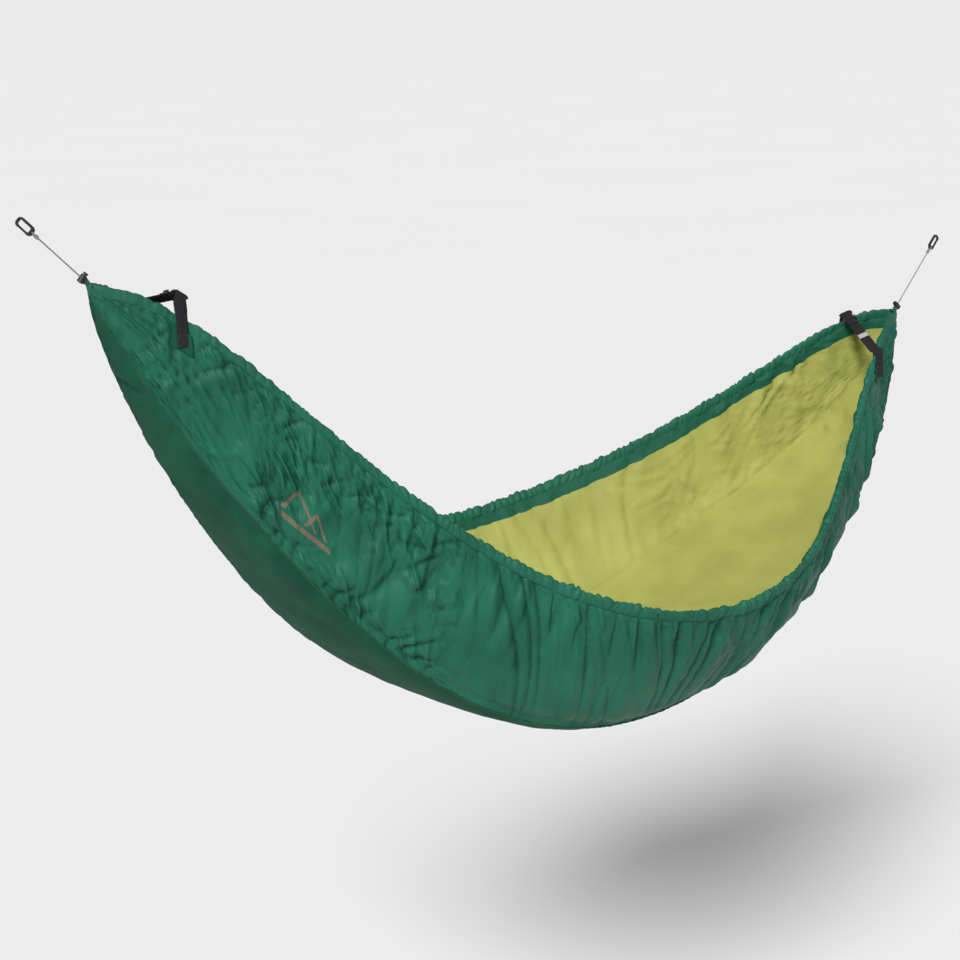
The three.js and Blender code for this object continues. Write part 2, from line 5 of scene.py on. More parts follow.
import bmesh
import bpy
import numpy as np
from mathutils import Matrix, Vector

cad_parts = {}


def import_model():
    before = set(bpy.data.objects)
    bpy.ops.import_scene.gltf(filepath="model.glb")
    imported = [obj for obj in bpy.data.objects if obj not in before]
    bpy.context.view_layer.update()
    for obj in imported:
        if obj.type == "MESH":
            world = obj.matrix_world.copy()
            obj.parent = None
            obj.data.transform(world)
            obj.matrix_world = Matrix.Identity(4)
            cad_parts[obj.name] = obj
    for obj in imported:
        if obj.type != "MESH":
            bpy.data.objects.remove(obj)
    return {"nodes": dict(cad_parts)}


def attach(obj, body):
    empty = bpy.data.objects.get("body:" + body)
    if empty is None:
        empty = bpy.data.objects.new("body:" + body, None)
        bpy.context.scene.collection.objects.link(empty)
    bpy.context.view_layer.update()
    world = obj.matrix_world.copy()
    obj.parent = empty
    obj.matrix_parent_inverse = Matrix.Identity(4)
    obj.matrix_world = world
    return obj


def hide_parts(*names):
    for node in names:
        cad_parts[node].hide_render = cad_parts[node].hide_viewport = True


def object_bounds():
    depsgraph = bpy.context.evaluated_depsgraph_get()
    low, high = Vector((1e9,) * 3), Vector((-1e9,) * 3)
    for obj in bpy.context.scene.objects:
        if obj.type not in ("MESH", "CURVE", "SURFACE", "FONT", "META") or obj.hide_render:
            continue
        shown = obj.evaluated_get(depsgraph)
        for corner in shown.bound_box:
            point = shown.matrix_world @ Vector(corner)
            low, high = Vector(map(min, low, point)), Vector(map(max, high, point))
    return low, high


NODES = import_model()["nodes"]
CAD_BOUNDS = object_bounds()


def new_object(name, data):
    piece = bpy.data.objects.new(name, data)
    bpy.context.scene.collection.objects.link(piece)
    return piece

# ---- camera

VIEW_YAW = math.radians(38.8)  # turned from +Y towards +X
VIEW_DOWN = math.radians(13.0)
VIEW_DISTANCE = 4.782
VIEW_TARGET = Vector((1.098, 0.0, -0.652))
LENS = 80.1
SENSOR = 36.0
SEEN_TO = 4000.0  # farther than the floor's edge


def add_camera():
    level = math.cos(VIEW_DOWN)
    heading = Vector((math.sin(VIEW_YAW) * level, math.cos(VIEW_YAW) * level, -math.sin(VIEW_DOWN)))
    data = bpy.data.cameras.new("camera")
    data.lens, data.sensor_width, data.clip_end = LENS, SENSOR, SEEN_TO
    camera = new_object("camera", data)
    camera.location = VIEW_TARGET - VIEW_DISTANCE * heading
    camera.rotation_euler = heading.to_track_quat("-Z", "Y").to_euler()
    bpy.context.scene.camera = camera


add_camera()

# ---- driving dimensions

SPAN = 2.35
HEAD_TIP_DROP = 0.27
FOOT_REACH = 0.185
HEAD_REACH = 0.235
FOOT_PITCH = math.radians(43)
HEAD_PITCH = math.radians(49)
FOOT_PULL = np.array([-math.cos(FOOT_PITCH), 0.0, math.sin(FOOT_PITCH)])
HEAD_PULL = np.array([math.cos(HEAD_PITCH), 0.0, math.sin(HEAD_PITCH)])
FOOT_TIP = -FOOT_REACH * FOOT_PULL
HEAD_TIP = FOOT_TIP + np.array([SPAN, 0.0, -HEAD_TIP_DROP])

# Lines of the hull: height, fullness, lean, spread and skew of each.
EDGE_HALF_WIDTH = (0.51, 0.52, 0.07, -1.36, -0.09)
EDGE_DROP = (0.62, 2.04, 0.12, 0.59, 0.06)
CHINE_HALF_WIDTH = (0.31, 0.83, 0.07, -0.04, -0.02)
CHINE_DROP = (0.915, 0.7, 0.0, -0.19, 0.065)
KEEL_SAG = 0.022
SIDE_BULGE = 0.016

CHANNEL_HEIGHT = 0.026
GAP = 0.0004
SKIN = 0.0012  # the frame's shell and lining solids
LOFT = 0.015  # batting at its fullest
LOFT_EDGE = 0.003  # batting where it is stitched down
CHANNEL_THICKNESS = 0.01
FACING_DEPTH = 0.05  # shell cloth folded over the edge and sewn to the lining
SEAM_DEPTH = SKIN + GAP + LOFT_EDGE / 2
NEAR = -1.0
FAR = 1.0
SIDE_NAMES = {NEAR: "near", FAR: "far"}
MIRROR = np.array([1.0, -1.0, 1.0])
HOOK_SEAT = 0.037  # from a hook's root to its seat
END_CORD = 0.003
EYE_CORD = 0.0026  # the same cord where it is drawn tight through a hook's eye
EDGE_CORD = 0.004
KNOT_TURNS = 3.5

# ---- hull of the quilt


def hump(line, t):
    height, fullness, lean, spread, skew = line
    u = 2 * t - 1
    swell = lean * u + spread * u * u + skew * (4 * u**3 - 3 * u)
    return height * np.maximum(4 * t * (1 - t), 1e-9) ** fullness * np.exp(swell)


def span_share(s):
    return (1 - np.cos(np.pi * s)) / 2


def station_at(share):
    return np.arccos(1 - 2 * share) / np.pi


def hull_line(s, half_width, drop):
    t = span_share(s)
    z = FOOT_TIP[2] - HEAD_TIP_DROP * t - hump(drop, t)
    return np.stack([FOOT_TIP[0] + SPAN * t, hump(half_width, t), z], axis=-1)


def edge_at(s):
    return hull_line(s, EDGE_HALF_WIDTH, EDGE_DROP)


def chine_at(s):
    return hull_line(s, CHINE_HALF_WIDTH, CHINE_DROP)


def unit(v):
    return v / np.maximum(np.linalg.norm(v, axis=-1, keepdims=True), 1e-12)


# Side panel surface, far side: w runs from 0 at the edge to 1 at the chine.
def side_surface(s, w):
    edge, chine = edge_at(s), chine_at(s)
    run = unit(chine - edge)
    crown = SIDE_BULGE * np.sin(np.pi * s) * np.sin(np.pi * w)
    out = np.stack([0 * crown, -run[..., 2] * crown, run[..., 1] * crown], axis=-1)
    return edge + (chine - edge) * w[..., None] + out


# Bottom panel surface: w runs from 1 at the far chine to -1 at the near chine.
def bottom_surface(s, w):
    chine = chine_at(s)
    sag = KEEL_SAG * np.sin(np.pi * s) * (1 - w * w)
    return np.stack([chine[..., 0], chine[..., 1] * w, chine[..., 2] - sag], axis=-1)


def outward(surface, s, w):
    step = 1e-3
    ds = surface(s + step, w) - surface(s - step, w)
    dw = surface(s, w + step) - surface(s, w - step)
    normal = unit(np.cross(ds, dw))
    middle = surface(s, w) * [1, 0, 0] + edge_at(s) * [0, 0, 1]
    inward = np.sum(normal * (middle - surface(s, w)), axis=-1, keepdims=True) > 0
    return np.where(inward, -normal, normal)


# A side panel's surface on either side of the quilt, and its direction outwards.
def panel_face(side, s, w):
    flip = np.array([1, side, 1])
    return side_surface(s, w) * flip, outward(side_surface, s, w) * flip


# Thickness from the outside of the shell to the inside of the lining.
def side_thickness(s, w):
    ends = np.minimum(1, 1.5 * np.sin(np.pi * s)) ** 1.5
    taper = np.sin(np.minimum(1, 2.5 * w) * np.pi / 2)
    return LOFT_EDGE + (LOFT - LOFT_EDGE) * ends * taper + 2 * SKIN + 2 * GAP


def arc_along(path):
    return np.concatenate([[0], np.cumsum(np.linalg.norm(np.diff(path, axis=0), axis=1))])


FINE = np.linspace(0.0, 1.0, 2001)
EDGE_ARC = arc_along(edge_at(FINE))
EDGE_LENGTH = EDGE_ARC[-1]


def edge_arc(s):
    return np.interp(s, FINE, EDGE_ARC)


def station_of_arc(arc):
    return np.interp(arc, EDGE_ARC, FINE)


# Stations at even steps along the edge, stopping a little short of both tips.
def stations(short, count):
    return station_of_arc(np.linspace(short, EDGE_LENGTH - short, count))


def side_height(s):
    return np.linalg.norm(edge_at(s) - chine_at(s), axis=-1)

# ---- gathers and creases


GATHERED_RUN = 4.4  # metres of puffs, more than an edge and its offsets need


# Irregular puffs along a gathered line: rounded bulges between pinched valleys.
class Gathers:
    def __init__(self, seed, pitch, jitter, roundness=0.7):
        rng = np.random.RandomState(seed)
        count = int(GATHERED_RUN / pitch)
        self.knots = np.cumsum(pitch * (1 + jitter * rng.uniform(-1, 1, count))) - 0.5
        self.size = rng.uniform(0.4, 1.25, count)
        self.roundness = roundness

    def __call__(self, arc):
        i = np.clip(np.searchsorted(self.knots, arc) - 1, 0, len(self.knots) - 2)
        low, high = self.knots[i], self.knots[i + 1]
        share = np.clip((arc - low) / (high - low), 0, 1)
        return self.size[i] * np.sin(np.pi * share) ** self.roundness


# Gradient noise: smooth, about -1 to 1.
class Drift:
    SIZE = 128

    def __init__(self, seed):
        turn = np.random.RandomState(seed).uniform(0, 2 * np.pi, (self.SIZE, self.SIZE))
        self.slope_x, self.slope_y = np.cos(turn), np.sin(turn)

    def corner(self, i, j, x, y):
        i, j = i % self.SIZE, j % self.SIZE
        return self.slope_x[i, j] * x + self.slope_y[i, j] * y

    def __call__(self, x, y):
        x, y = np.broadcast_arrays(x, y)
        i, j = np.floor(x).astype(int), np.floor(y).astype(int)
        x, y = x - i, y - j
        u, v = (c * c * c * (c * (6 * c - 15) + 10) for c in (x, y))
        low = self.corner(i, j, x, y) * (1 - u) + self.corner(i + 1, j, x - 1, y) * u
        high = self.corner(i, j + 1, x, y - 1) * (1 - u) + self.corner(i + 1, j + 1, x - 1, y - 1) * u
        return 1.5 * (low * (1 - v) + high * v)


# Folds as wide as across and as long as along, rounded on top and pinched between.
def pinched_folds(drift, x, y, across, along):
    warp = 0.5 * across * drift(x / (3 * across) + 31.7, y / (0.7 * along))
    return np.abs(drift((x + warp) / across, y / along + 11.3)) ** 0.75 - 0.42


# 1 between low and high, easing to 0 over soft at each side.
def between(x, low, high, soft):
    return 1 / (1 + np.exp((low - x) / soft)) / (1 + np.exp((x - high) / soft))


FOOT_STRAP_AT = 0.066
HEAD_STRAP_FAR_AT = 0.953
HEAD_STRAP_NEAR_AT = 0.912
STRAPS_ON = {NEAR: (FOOT_STRAP_AT, HEAD_STRAP_NEAR_AT), FAR: (FOOT_STRAP_AT, HEAD_STRAP_FAR_AT)}
STRAP_CALM = (0.034, 0.095)  # how far the cloth lies smooth beside a strap, and below the edge


# 0 under a cross strap's webbing and 1 clear of it.
def clear_of_straps(side, arc, depth):
    calm = 1.0
    for share in STRAPS_ON[side]:
        beside = (arc - edge_arc(station_at(share))) / STRAP_CALM[0]
        calm = calm * (1 - np.exp(-beside**4 - (depth / STRAP_CALM[1]) ** 6))
    return calm


# How hard the cloth is drawn in on the edge cord: everywhere, and more between places on the span.
TIGHTNESS = {
    NEAR: (0.22, [(0.75, 0.04, 0.13, 0.01), (0.5, 0.13, 0.24, 0.015), (0.85, 0.22, 0.33, 0.015),
                  (1.0, 0.32, 0.97, 0.02)]),
    FAR: (0.55, [(0.5, 0.05, 0.97, 0.01)]),
}


def gather_strength(side, t):
    slack, zones = TIGHTNESS[side]
    return slack + sum(more * between(t, *zone) for more, *zone in zones)


class SidePanel:
    """The outside of one side of the quilt, as height over the smooth hull."""

    def __init__(self, side, seed, ruffle, crumpled, ruffled):
        self.side = side
        self.ruffle = ruffle
        self.small = Gathers(seed, 0.018, 0.5)
        self.middle = Gathers(seed + 1, 0.05, 0.5, 0.8)
        self.large = Gathers(seed + 2, 0.13, 0.45, 0.95)
        self.lean = Drift(seed + 3)
        self.drifts = [Drift(seed + 4 + k) for k in range(6)]
        self.zones = (crumpled, ruffled)

    # How hard the cloth is pinched at a place, and how far its folds lean.
    def pull(self, arc, depth, t):
        pinched = gather_strength(self.side, t) * clear_of_straps(self.side, arc, depth)
        return pinched, 0.6 * self.lean(arc / 0.17, 0.5)

    # Gathers that the shell and the lining share, next to the edge channel.
    def shared_folds(self, arc, depth, t):
        pinched, lean = self.pull(arc, depth, t)
        return self.ruffle * pinched * self.small(arc + lean * depth) * np.exp(-depth / 0.055)

    # Folds as wide as a hand, which the cloth simulation starts from.
    def broad_folds(self, arc, depth, t):
        pinched, lean = self.pull(arc, depth, t)
        spread = 0.9 * self.lean(arc / 0.31, 5.5)
        folds = 0.0062 * self.middle(arc + (lean + spread) * depth) * np.exp(-((depth / 0.17) ** 1.5))
        folds += 0.0085 * self.large(arc + spread * depth) * np.exp(-((depth / 0.32) ** 2))
        return pinched * folds - 0.004 * np.exp(-((depth / 0.3) ** 2))

    # Creases down to a finger's width.
    def creases(self, arc, depth, t):
        crumpled, ruffled = (sum(between(t, *zone, 0.02) for zone in zones) for zones in self.zones)
        lean = 0.5 * self.lean(arc / 0.2, 9.5)
        d0, d1, d2, d3, d4, d5 = self.drifts
        upper = np.exp(-((depth / 0.24) ** 2))
        x, slant, counter = arc + lean * depth, arc + (0.85 + lean) * depth, arc - (0.75 - lean) * depth
        ruffles = pinched_folds(d0, x, depth, 0.024, 0.3) * upper * (0.35 + 0.6 * ruffled + 0.3 * crumpled)
        pleats = pinched_folds(d1, x, depth, 0.062, 0.6)
        pleats = pleats * (0.4 + 0.6 * upper) * (0.3 + ruffled + 0.4 * crumpled)
        dents = pinched_folds(d2, slant, depth, 0.06, 0.13) - pinched_folds(d3, counter, depth, 0.052, 0.11)
        uneven = np.clip(0.55 + 1.3 * d0(arc / 0.19 + 3.1, depth / 0.15), 0.1, 1.35)
        dents = dents * uneven * np.maximum(0.3 + 1.1 * crumpled - 0.2 * ruffled, 0.08)
        fine = pinched_folds(d4, slant, counter, 0.026, 0.07) - pinched_folds(d3, counter, slant, 0.021, 0.06)
        fine = fine * uneven * (0.15 + 0.75 * crumpled)
        from_tip = np.minimum(arc, EDGE_LENGTH - arc) + 0.01
        rays = pinched_folds(d5, depth / from_tip, from_tip, 0.15, 0.4) * np.exp(-((from_tip / 0.4) ** 2))
        return 0.008 * ruffles + 0.02 * pleats + 0.015 * dents + 0.0036 * fine + 0.013 * rays


PANELS = {
    NEAR: SidePanel(NEAR, 21, 0.0044, crumpled=[(0.05, 0.31)], ruffled=[(0.29, 1.0)]),
    FAR: SidePanel(FAR, 61, 0.0062, crumpled=[(0.1, 0.3), (0.75, 0.92)], ruffled=[(0.25, 0.8)]),
}

# ---- mesh helpers


# Texture places from two sets of numbers of matching shapes.
def uv_of(u, v):
    return np.stack(np.broadcast_arrays(u, v), axis=-1)


# A mesh piece from points, faces and a texture place for each point.
def mesh_piece(name, points, faces, uv=None, smooth=True):
    mesh = bpy.data.meshes.new(name)
    mesh.from_pydata(np.asarray(points, float).reshape(-1, 3).tolist(), [], faces)
    if uv is not None:
        layer = mesh.uv_layers.new(name="cloth")
        corner = np.zeros(len(mesh.loops), int)
        mesh.loops.foreach_get("vertex_index", corner)
        layer.data.foreach_set("uv", uv.reshape(-1, 2)[corner].astype(np.float32).ravel())
    mesh.polygons.foreach_set("use_smooth", [smooth] * len(mesh.polygons))
    mesh.update()
    return new_object(name, mesh)


def grid_faces(rows, columns, wrap=False):
    index = np.arange(rows * columns).reshape(rows, columns)
    right = np.roll(index, -1, axis=1) if wrap else index[:, 1:]
    left = index if wrap else index[:, :-1]
    return np.stack([left[:-1], right[:-1], right[1:], left[1:]], axis=-1).reshape(-1, 4)


def turn_outward(piece):
    made = bmesh.new()
    made.from_mesh(piece.data)
    bmesh.ops.recalc_face_normals(made, faces=made.faces)
    if made.calc_volume(signed=True) < 0:
        bmesh.ops.reverse_faces(made, faces=made.faces)
    made.to_mesh(piece.data)
    made.free()
    return piece


# A closed tube through rings of points, with flat ends.
def tube_piece(name, rings, uv=None):
    rows, columns = rings.shape[:2]
    faces = grid_faces(rows, columns, wrap=True).tolist()
    faces.append(list(range(columns)))
    faces.append(list(range(rows * columns - 1, (rows - 1) * columns - 1, -1)))
    return turn_outward(mesh_piece(name, rings, faces, uv))


# A closed sheet of cloth of one thickness from the grid of its outer face.
def cloth_piece(name, outer, inward, thickness, uv):
    rows, columns = outer.shape[:2]
    front = grid_faces(rows, columns)
    count = rows * columns
    loop = np.concatenate([
        np.arange(columns),
        np.arange(1, rows) * columns + columns - 1,
        (rows - 1) * columns + np.arange(columns - 2, -1, -1),
        np.arange(rows - 2, 0, -1) * columns,
    ])
    following = np.roll(loop, -1)
    border = np.stack([following, loop, loop + count, following + count], axis=-1)
    faces = np.concatenate([front, front[:, ::-1] + count, border]).tolist()
    return turn_outward(mesh_piece(name, [outer, outer + inward * thickness], faces, np.stack([uv, uv])))


def full_turn(steps):
    return 2 * np.pi * np.arange(steps) / steps


# Unit spokes at some turns from one direction towards another.
def spokes(turn, side, up):
    return np.cos(turn)[:, None] * side + np.sin(turn)[:, None] * up


def round_rings(spine, radius, sides=8, up=(0.12, 0.31, 0.94)):
    heading = unit(np.gradient(spine, axis=0))
    side = unit(np.cross(heading, up))
    above = np.cross(side, heading)
    ring = spokes(full_turn(sides), side[:, None], above[:, None])
    return spine[:, None] + ring * radius


# Places at some distances along a line of points.
def places_along(at, arc, points):
    return np.stack([np.interp(at, arc, points[:, k]) for k in range(3)], axis=-1)


# Evenly spaced points along a bent line, with its corners eased.
def eased_path(points, step=0.0012):
    points = np.array(points)
    arc = arc_along(points)
    path = places_along(np.linspace(0, arc[-1], int(arc[-1] / step)), arc, points)
    for _ in range(3):
        path[1:-1] = 0.25 * path[:-2] + 0.5 * path[1:-1] + 0.25 * path[2:]
    return path


def coat(piece, material):
    piece.data.materials.clear()
    piece.data.materials.append(material)


def dress(piece, material, replaces=()):
    coat(piece, material)
    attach(piece, "root")
    if replaces:
        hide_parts(*replaces)
    return piece


THREAD_SIDES = 5
THREAD_RINGS = np.array([0.0, 0.5, 1.0])  # places along a stitch
THREAD_WIDTHS = np.array([0.35, 1.0, 0.35])
ASKEW = [0.31, 0.17, 0.93]  # a direction that no seam runs in


# Short spindles of thread along a line of points.
def stitches(name, path, material, radius=0.00035, length=0.0032, gap=0.0014):
    arc = arc_along(path)
    starts = np.arange(0, arc[-1] - length, length + gap)
    spine = places_along(starts[:, None] + THREAD_RINGS * length, arc, path)
    heading = unit(spine[:, 2:] - spine[:, :1])
    side = unit(np.cross(heading, ASKEW))
    up = np.cross(heading, side)
    ring = spokes(full_turn(THREAD_SIDES), side[:, :, None], up[:, :, None])
    points = spine[:, :, None] + ring * (radius * THREAD_WIDTHS)[:, None, None]
    count = len(THREAD_RINGS) * THREAD_SIDES
    firsts = count * np.arange(len(starts))
    one = grid_faces(len(THREAD_RINGS), THREAD_SIDES, wrap=True)
    faces = (one + firsts[:, None, None]).reshape(-1, 4).tolist()
    for first in firsts.tolist():
        faces.append(list(range(first, first + THREAD_SIDES)))
        faces.append(list(range(first + count - 1, first + count - 1 - THREAD_SIDES, -1)))
    piece = turn_outward(mesh_piece(name, points, faces, smooth=False))
    return dress(piece, material)

# ---- materials


def srgb(*shades):
    linear = []
    for value in shades:
        v = value / 255
        linear.append(v / 12.92 if v <= 0.04045 else ((v + 0.055) / 1.055) ** 2.4)
    return (*linear, 1.0)


class Signal:
    """What comes out of a node, for use with plain operators."""

    def __init__(self, look, socket):
        self.look, self.socket = look, socket

    def math(self, operation, other=0.0):
        return self.look.math(operation, self, other)

    def __add__(self, other):
        return self.math("ADD", other)

    def __sub__(self, other):
        return self.math("SUBTRACT", other)

    def __mul__(self, other):
        return self.math("MULTIPLY", other)

    def __abs__(self):
        return self.math("ABSOLUTE")

    def below(self, limit):
        return self.math("LESS_THAN", limit)


class Look:
    """A material and a short way to write its nodes."""

    NAMES = {
        "base": "Base Color", "rough": "Roughness", "normal": "Normal", "metal": "Metallic",
        "sheen": "Sheen Weight", "specular": "Specular IOR Level",
    }

    def __init__(self, name):
        self.material = bpy.data.materials.new(name)
        self.material.use_nodes = True
        self.tree = self.material.node_tree

    def plug(self, value, socket):
        if isinstance(value, Signal):
            self.tree.links.new(value.socket, socket)
        else:
            socket.default_value = value

    def node(self, kind, inputs, out=0, **settings):
        made = self.tree.nodes.new(kind)
        for key, value in settings.items():
            setattr(made, key, value)
        for key, value in inputs.items():
            self.plug(value, made.inputs[key])
        return Signal(self, made.outputs[out])

    def math(self, operation, a, b=0.0):
        return self.node("ShaderNodeMath", {0: a, 1: b}, operation=operation)

    def mix(self, factor, a, b):
        return self.node("ShaderNodeMix", {0: factor, 6: a, 7: b}, 2, data_type="RGBA")

    def ramp(self, value, low, high):
        return self.node("ShaderNodeMapRange", {0: value, 1: low, 2: high, 3: 0.0, 4: 1.0}, clamp=True)

    def noise(self, vector, scale, detail=3.0, roughness=0.5):
        inputs = {"Vector": vector, "Scale": scale, "Detail": detail, "Roughness": roughness}
        return self.node("ShaderNodeTexNoise", inputs, "Fac")

    def stretched(self, vector, *scale):
        return self.node("ShaderNodeMapping", {0: vector, 3: scale})

    def wave(self, value, pitch):
        return (value * (2 * math.pi / pitch)).math("SINE")

    def bump(self, height, strength, distance, normal=None):
        inputs = {"Height": height, "Strength": strength, "Distance": distance}
        if normal is not None:
            inputs["Normal"] = normal
        return self.node("ShaderNodeBump", inputs, "Normal")

    def place(self, kind="Object"):
        return self.node("ShaderNodeTexCoord", {}, kind)

    def axes(self, vector):
        split = self.node("ShaderNodeSeparateXYZ", {0: vector}).socket.node
        return [Signal(self, split.outputs[k]) for k in (0, 1)]

    def set(self, **sockets):
        for key, value in sockets.items():
            self.plug(value, self.tree.nodes["Principled BSDF"].inputs[self.NAMES[key]])
        return self.material


EMBLEM_INK = srgb(118, 96, 80)
EMBLEM_LINE = 0.0058  # half the width of a printed line
TENTS = ((-0.02, -0.046), (0.026, -0.028))  # each tent's middle and peak
TENT_SLOPE = 1.3
TENT_FOOT = 0.012
GROUND = dict(below=0.026, half=0.07)


# A plain printed sign of two tents over a line of ground: 1 on the ink.
def emblem_mask(look, u, v, centre):
    across = u - centre[0]
    down = v - centre[1]
    ink = 0.0
    for shift, peak in TENTS:
        slope = down - abs(across - shift) * TENT_SLOPE
        tent = abs(slope - peak).below(EMBLEM_LINE) * down.below(TENT_FOOT)
        ink = look.math("MAXIMUM", ink, tent)
    ground = abs(down - GROUND["below"]).below(EMBLEM_LINE) * abs(across).below(GROUND["half"])
    return ink.math("MAXIMUM", ground)


WEAVE = 0.0006
RIPSTOP = 0.005


# Ripstop taffeta: plain weave with a raised 5 mm grid, crinkles and a slow drift of colour, and, where a
# folds colour is given, painted shade along the sharpest folds.
def taffeta(name, light, dark, roughness, gloss, crinkles=1.0, folds=None, facing=None, emblem=None):
    look = Look(name)
    uv = look.place("UV")
    u, v = look.axes(uv)
    drift = look.ramp(look.noise(uv, 7.0), 0.35, 0.65)
    fine = look.noise(uv, 160.0, 2.0)
    weave = look.wave(u, WEAVE) * look.wave(v, WEAVE)
    rip_u, rip_v = (look.ramp(look.wave(way, RIPSTOP), 0.93, 1.0) for way in (u, v))
    rip = rip_u.math("MAXIMUM", rip_v)
    colour = look.mix(rip * 0.05 + fine * 0.1, look.mix(drift, dark, light), light)
    if facing:
        colour = look.mix(look.ramp(v, FACING_DEPTH, FACING_DEPTH + 0.0005), facing, colour)
    if emblem:
        worn = look.ramp(look.noise(uv, 300.0), 0.3, 0.5)
        colour = look.mix(emblem_mask(look, u, v, emblem) * worn * 0.85, colour, EMBLEM_INK)
    if folds:
        # Painted shade: the colour darkens towards the folds colour by the mesh's 'folds' attribute,
        # strongest along the sharpest folds.
        painted_shade_mask = look.node("ShaderNodeAttribute", {}, "Fac", attribute_name="folds")
        colour = look.mix(painted_shade_mask, colour, folds)
    long_crinkle = look.noise(look.stretched(uv, 1.0, 0.45, 1.0), 34.0, 5.0, 0.6)
    short_crinkle = look.noise(look.stretched(uv, 1.0, 0.8, 1.0), 110.0, 3.0, 0.55)
    normal = look.bump(long_crinkle, 0.45 * crinkles, 0.006)
    normal = look.bump(short_crinkle, 0.25 * crinkles, 0.0015, normal)
    normal = look.bump(weave + rip * 2.0, 0.1, 0.0002, normal)
    return look.set(base=colour, rough=fine * 0.12 + (roughness - 0.06), normal=normal, specular=gloss)


# Flat webbing: chevron ribs along the strap, fuzzed with fine noise.
def webbing_look():
    look = Look("strap_webbing")
    u, v = look.axes(look.place("UV"))
    chevron = abs(v.math("MODULO", 0.006) - 0.003)
    height = look.wave(u + chevron * 0.8, 0.0016) * 0.6 + look.wave(v, 0.0021) * 0.4
    shade = look.ramp(height, -1.2, 1.4) + look.noise(look.place(), 900.0, 2.0) * 0.3
    colour = look.mix(shade, srgb(14, 14, 16), srgb(44, 44, 47))
    return look.set(base=colour, rough=0.8, normal=look.bump(height, 0.7, 0.0006), specular=0.2)


def moulded_look():
    look = Look("moulded_acetal")
    wear = look.noise(look.place(), 120.0, 4.0)
    colour = look.mix(look.ramp(wear, 0.45, 0.75), srgb(22, 22, 24), srgb(40, 40, 42))
    grain = look.bump(look.noise(look.place(), 1600.0, 2.0), 0.2, 0.0001)
    return look.set(base=colour, rough=wear * 0.2 + 0.34, normal=grain)


# Braided sheath: two sets of slanting plaits round the cord.
def braid_look():
    look = Look("braided_cord")
    u, v = look.axes(look.place())
    plait = look.wave(u + v * 0.9, 0.0018) * look.wave(u - v * 0.9, 0.0018)
    shade = look.ramp(plait, -1.0, 1.0) + look.noise(look.place(), 700.0, 2.0) * 0.4
    colour = look.mix(shade, srgb(86, 88, 90), srgb(142, 144, 146))
    return look.set(base=colour, rough=0.75, normal=look.bump(plait, 0.6, 0.0004), sheen=0.2)


def label_look():
    look = Look("woven_label")
    u, v = look.axes(look.place())
    weave = look.wave(u, 0.0007) * look.wave(v, 0.0007)
    colour = look.mix(look.noise(look.place(), 500.0, 2.0), srgb(150, 152, 154), srgb(186, 188, 190))
    return look.set(base=colour, rough=0.7, normal=look.bump(weave, 0.3, 0.0002), sheen=0.2)


def steel_look():
    look = Look("spring_steel")
    scratch = look.noise(look.stretched(look.place(), 1.0, 1.0, 8.0), 400.0)
    colour = look.mix(scratch, srgb(170, 172, 176), srgb(205, 207, 210))
    return look.set(base=colour, rough=scratch * 0.2 + 0.2, metal=1.0)


def thread_look(name, light, dark):
    look = Look(name)
    return look.set(base=look.mix(look.noise(look.place(), 2500.0, 1.0), dark, light), rough=0.6, sheen=0.2)


def fill_look():
    look = Look("polyester_fill")
    fluff = look.noise(look.place(), 90.0, 5.0, 0.7)
    colour = look.mix(fluff, srgb(226, 224, 216), srgb(245, 244, 240))
    return look.set(base=colour, rough=0.95, normal=look.bump(fluff, 0.8, 0.004), sheen=0.4)


GREEN = srgb(30, 96, 75), srgb(24, 82, 63)
# Colour of the painted shade along the sharpest folds.
PAINTED_SHADE_GREEN = srgb(8, 38, 28)
LIME = srgb(160, 163, 86), srgb(146, 149, 76)
EMBLEM_STATION = float(station_at(0.158))
EMBLEM_PLACE = (float(edge_arc(EMBLEM_STATION)), 0.64 * float(side_height(EMBLEM_STATION)))
SHELL = taffeta("shell_taffeta", *GREEN, 0.52, 0.16)
# Side panels: green taffeta with painted shade along their sharpest folds; the near one also carries the
# printed emblem.
PANEL = {
    NEAR: taffeta("near_taffeta", *GREEN, 0.48, 0.14, folds=PAINTED_SHADE_GREEN, emblem=EMBLEM_PLACE),
    FAR: taffeta("far_taffeta", *GREEN, 0.48, 0.14, folds=PAINTED_SHADE_GREEN),
}
# Bottom panel: the sides' green taffeta with painted shade, its colours darker than the sides' to stand for
# the shade on the underside.
BOTTOM_TAFFETA_PAINTED_SHADE = taffeta("bottom_taffeta", srgb(25, 80, 61), srgb(20, 68, 52), 0.68, 0.05, 0.5)
LINING = taffeta("lining_taffeta", *LIME, 0.62, 0.15, 0.8)
SIDE_LINING = taffeta("side_lining_taffeta", *LIME, 0.62, 0.15, 0.8, facing=GREEN[1])
FILL = fill_look()
WEBBING = webbing_look()
MOULDED = moulded_look()
BRAID = braid_look()
LABEL = label_look()
STEEL = steel_look()
SHELL_THREAD = thread_look("dark_thread", srgb(30, 46, 38), srgb(16, 28, 22))
SEAM_THREAD = thread_look("brown_thread", srgb(104, 84, 62), srgb(66, 52, 38))
BLACK_THREAD = thread_look("black_thread", srgb(70, 70, 72), srgb(34, 34, 36))

# ---- end cords

EYE_HALF = [(-0.005, 0.0008), (-0.0018, 0.0036), (0.001, 0.0044), (0.0033, 0.004), (0.0036, 0.002)]
KNOT_START = -0.005  # along the pull from a hook's root
CORD_POINTS = 24
ACROSS = np.array([0.0, 1.0, 0.0])


